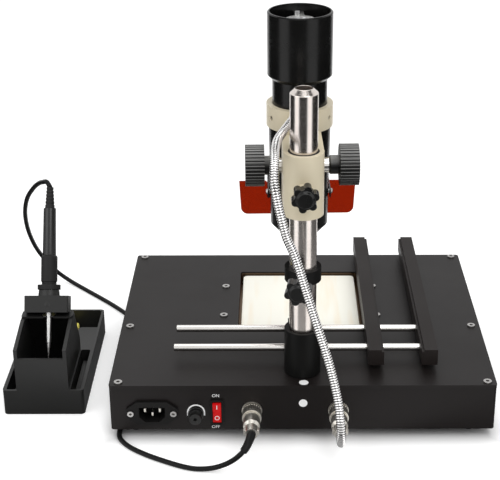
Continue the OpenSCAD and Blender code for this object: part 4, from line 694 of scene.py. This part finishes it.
def makeFuseArc():
    facts = markSet["arc"]
    centre = Vector((facts["x"] * mm, wallFace, facts["z"] * mm))
    middle = (facts["outer"] + facts["inner"]) / 2 * mm
    width = (facts["outer"] - facts["inner"]) * mm
    thick = markSet["thick"] * mm
    legs = []
    for side in (1, -1):
        place = centre + Vector((side * middle, thick / 2, -facts["leg"] * mm / 2))
        leg = addShape(bpy.ops.mesh.primitive_cube_add, size=1, location=place)
        leg.scale = (width, thick, facts["leg"] * mm)
        applyPlace(leg)
        legs.append(leg)
    place = centre + Vector((middle, thick / 2, 0))
    arc = addShape(bpy.ops.mesh.primitive_plane_add, size=1, location=place)
    arc.scale = (width, thick, 1)
    applyPlace(arc)
    startEdit(arc)
    bpy.ops.mesh.spin(steps=facts["steps"], angle=math.pi, center=centre, axis=(0, 1, 0))
    bpy.ops.mesh.select_all(action='SELECT')
    bpy.ops.mesh.remove_doubles(threshold=weldGap)
    bpy.ops.mesh.normals_make_consistent(inside=False)
    endEdit()
    makeActive(arc)
    for leg in legs:
        leg.select_set(True)
    bpy.ops.object.join()
    print("fuse arc reaches", round(max(corner[2] for corner in arc.bound_box) / mm, 1), "mm up")
    finishMark(arc, "fuseArc")


makeFuseArc()


def makeText(name, words, x, z):
    text = addShape(bpy.ops.object.text_add, location=(x * mm, wallFace, z * mm),
                    rotation=(math.pi / 2, 0, math.pi))
    text.data.body = words
    text.data.size = markSet["textSize"] * mm
    text.data.align_x = 'CENTER'
    text.data.align_y = 'CENTER'
    text.data.extrude = markSet["thick"] * mm / 2
    bpy.ops.object.convert(target='MESH')
    applyPlace(text)
    finishMark(text, name)


makeText("onText", "ON", *markSet["onText"])
makeText("offText", "OFF", *markSet["offText"])


# the rocker's line and ring lie on its two slopes, found by a ray from behind the wall
rockerMarks = {"x": 80, "away": 50, "line": {"z": 35.2, "width": 0.8, "height": 5.0},
               "ring": {"z": 22.6, "radius": 2.0, "thick": 0.3, "flat": 0.2, "segments": (32, 6)}}


def makeRockerMark(name, shape):
    facts = rockerMarks[shape]
    rocker = pieces["switch_rocker"]
    start = Vector((rockerMarks["x"] * mm, wallFace + rockerMarks["away"] * mm, facts["z"] * mm))
    start = rocker.matrix_world.inverted() @ start
    hit, place, normal = rocker.ray_cast(start, Vector((0, -1, 0)))[:3]
    if shape == "line":
        mark = addShape(bpy.ops.mesh.primitive_cube_add, size=1)
        mark.scale = (facts["width"] * mm, facts["height"] * mm, markSet["thick"] * mm)
    else:
        around, across = facts["segments"]
        mark = addShape(bpy.ops.mesh.primitive_torus_add, major_segments=around, minor_segments=across,
                        major_radius=facts["radius"] * mm, minor_radius=facts["thick"] * mm)
        mark.scale = (1, 1, facts["flat"])
    applyPlace(mark)
    mark.rotation_euler = normal.to_track_quat('Z', 'Y').to_euler()
    mark.location = rocker.matrix_world @ place
    applyPlace(mark)
    finishMark(mark, name, "rocker")
    print(name, "on the rocker:", hit)


makeRockerMark("rockerLine", "line")
makeRockerMark("rockerRing", "ring")
print("marks printed")


# plain pale stage: floor, white surround, soft lamps and dark cards that the metal mirrors
stageSet = {"floor": 8, "floorColor": 0.8, "floorRough": 0.9, "lift": 0.42, "surround": 0.62,
            "shadeFade": (-0.006, 0.016)}


def whiteRays(tree):
    path = addNode(tree, 'ShaderNodeLightPath')
    total = path.outputs["Is Camera Ray"]
    for name in ("Is Glossy Ray", "Is Transmission Ray"):
        most = addNode(tree, 'ShaderNodeMath', operation='MAXIMUM')
        tree.links.new(total, most.inputs[0])
        tree.links.new(path.outputs[name], most.inputs[1])
        total = most.outputs[0]
    return total


# the floor's own glow is taken away under the lid and rises again across a narrow band around its outline,
# so that the base keeps its real shadow; the band itself is a painted soft shadow edge
def baseShade(tree, coords):
    place = addNode(tree, 'ShaderNodeSeparateXYZ')
    tree.links.new(coords, place.inputs[0])
    most = addNode(tree, 'ShaderNodeMath', operation='MAXIMUM')
    for i, half in enumerate((lidCorner.x, lidCorner.y)):
        span = addNode(tree, 'ShaderNodeMath', operation='ABSOLUTE')
        over = addNode(tree, 'ShaderNodeMath', {1: half}, operation='SUBTRACT')
        tree.links.new(place.outputs[i], span.inputs[0])
        tree.links.new(span.outputs[0], over.inputs[0])
        tree.links.new(over.outputs[0], most.inputs[i])
    low, high = stageSet["shadeFade"]
    fade = addNode(tree, 'ShaderNodeMapRange', {"From Min": low, "From Max": high,
                                                "To Max": stageSet["lift"]}, interpolation_type='SMOOTHSTEP')
    tree.links.new(most.outputs[0], fade.inputs["Value"])
    return fade.outputs["Result"]


def makeFloor():
    floor = addShape(bpy.ops.mesh.primitive_plane_add, size=stageSet["floor"])
    floor.name = "floor"
    finish, tree, shader, coords = startFinish("paleFloor")
    tone = stageSet["floorColor"]
    shader.inputs["Base Color"].default_value = (tone, tone, tone, 1)
    shader.inputs["Roughness"].default_value = stageSet["floorRough"]
    shader.inputs["Specular IOR Level"].default_value = 0
    shader.inputs["Emission Color"].default_value = (1, 1, 1, 1)
    scaled = addNode(tree, 'ShaderNodeMath', operation='MULTIPLY')
    tree.links.new(whiteRays(tree), scaled.inputs[0])
    tree.links.new(baseShade(tree, coords), scaled.inputs[1])
    tree.links.new(scaled.outputs[0], shader.inputs["Emission Strength"])
    floor.data.materials.append(finish)


def makeSurround():
    world = bpy.data.worlds.new("surround")
    world.use_nodes = True
    scene.world = world
    tree = world.node_tree
    sky = tree.nodes["Background"]
    sky.inputs["Color"].default_value = (1, 1, 1, 1)
    ranged = addNode(tree, 'ShaderNodeMapRange', {"To Min": stageSet["surround"], "To Max": 1})
    tree.links.new(whiteRays(tree), ranged.inputs["Value"])
    tree.links.new(ranged.outputs["Result"], sky.inputs["Strength"])


# three soft lamps that look at one point above the lid
lampAim = Vector((0, 0, 0.12))
lampSet = {"keyLamp": {"place": (-0.7, 1.3, 1.7), "size": 1.2, "power": 14},
           "fillLamp": {"place": (1.3, 0.9, 1.2), "size": 1.2, "power": 8},
           "topLamp": {"place": (0, -0.4, 2.0), "size": 1.6, "power": 12}}


def makeLamps():
    for name, facts in lampSet.items():
        lamp = addShape(bpy.ops.object.light_add, type='AREA', location=facts["place"])
        lamp.name = name
        lamp.data.size = facts["size"]
        lamp.data.energy = facts["power"]
        lamp.rotation_euler = (lampAim - Vector(facts["place"])).to_track_quat('-Z', 'Y').to_euler()


# dark cards, seen only by mirror-like surfaces: wedges on the floor that darken away from the column,
# each with its direction and half angle in degrees, and two overhead; near and far give metres and tone
cardSet = {"axis": (0, 0.115), "lift": 0.0008, "reach": 4.0,
           "wedges": {"cameraWedge": (8, 34), "leftWedge": (111, 31), "rightWedge": (-104, 38)},
           "near": (0.18, 0.38), "far": (0.62, 0.01),
           "ceiling": {"height": 2.4, "middle": (1.25, 0.4), "size": (1.5, 2.6)}}


def finishCard(card, name, finish):
    card.name = name
    applyPlace(card)
    card.data.materials.append(finish)
    for seen in ("camera", "diffuse", "transmission", "shadow", "volume_scatter"):
        setattr(card, "visible_" + seen, False)


def makeCards():
    finish, tree, shader, coords = startFinish("darkCard")
    offset = addNode(tree, 'ShaderNodeVectorMath', {1: (*cardSet["axis"], 0)}, operation='DISTANCE')
    near, nearTone = cardSet["near"]
    far, farTone = cardSet["far"]
    fade = addNode(tree, 'ShaderNodeMapRange', {"From Min": near, "From Max": far,
                                                "To Min": nearTone, "To Max": farTone})
    tree.links.new(coords, offset.inputs[0])
    tree.links.new(offset.outputs["Value"], fade.inputs["Value"])
    tree.links.new(fade.outputs["Result"], shader.inputs["Base Color"])
    shader.inputs["Roughness"].default_value = 1
    shader.inputs["Specular IOR Level"].default_value = 0
    axisX, axisY = cardSet["axis"]
    reach = cardSet["reach"]
    plainHeight = 1.5  # of a triangle whose corners are 1 from its middle
    plainHalf = math.cos(math.pi / 6)
    for name, (turn, half) in cardSet["wedges"].items():
        angle = math.radians(turn)
        middle = reach / plainHeight
        centre = (axisX + math.sin(angle) * middle, axisY + math.cos(angle) * middle, cardSet["lift"])
        card = addShape(bpy.ops.mesh.primitive_circle_add, vertices=3, radius=1, fill_type='NGON',
                        location=centre, rotation=(0, 0, math.pi - angle))
        card.scale = (reach * math.tan(math.radians(half)) / plainHalf, reach / plainHeight, 1)
        finishCard(card, name, finish)
    ceiling = cardSet["ceiling"]
    middleX, middleY = ceiling["middle"]
    for name, side in (("leftCeiling", 1), ("rightCeiling", -1)):
        card = addShape(bpy.ops.mesh.primitive_plane_add, size=1,
                        location=(side * middleX, middleY, ceiling["height"]))
        card.scale = (*ceiling["size"], 1)
        finishCard(card, name, finish)


makeFloor()
makeSurround()
makeLamps()
makeCards()
scene.view_settings.view_transform = 'Standard'
print("stage lit")
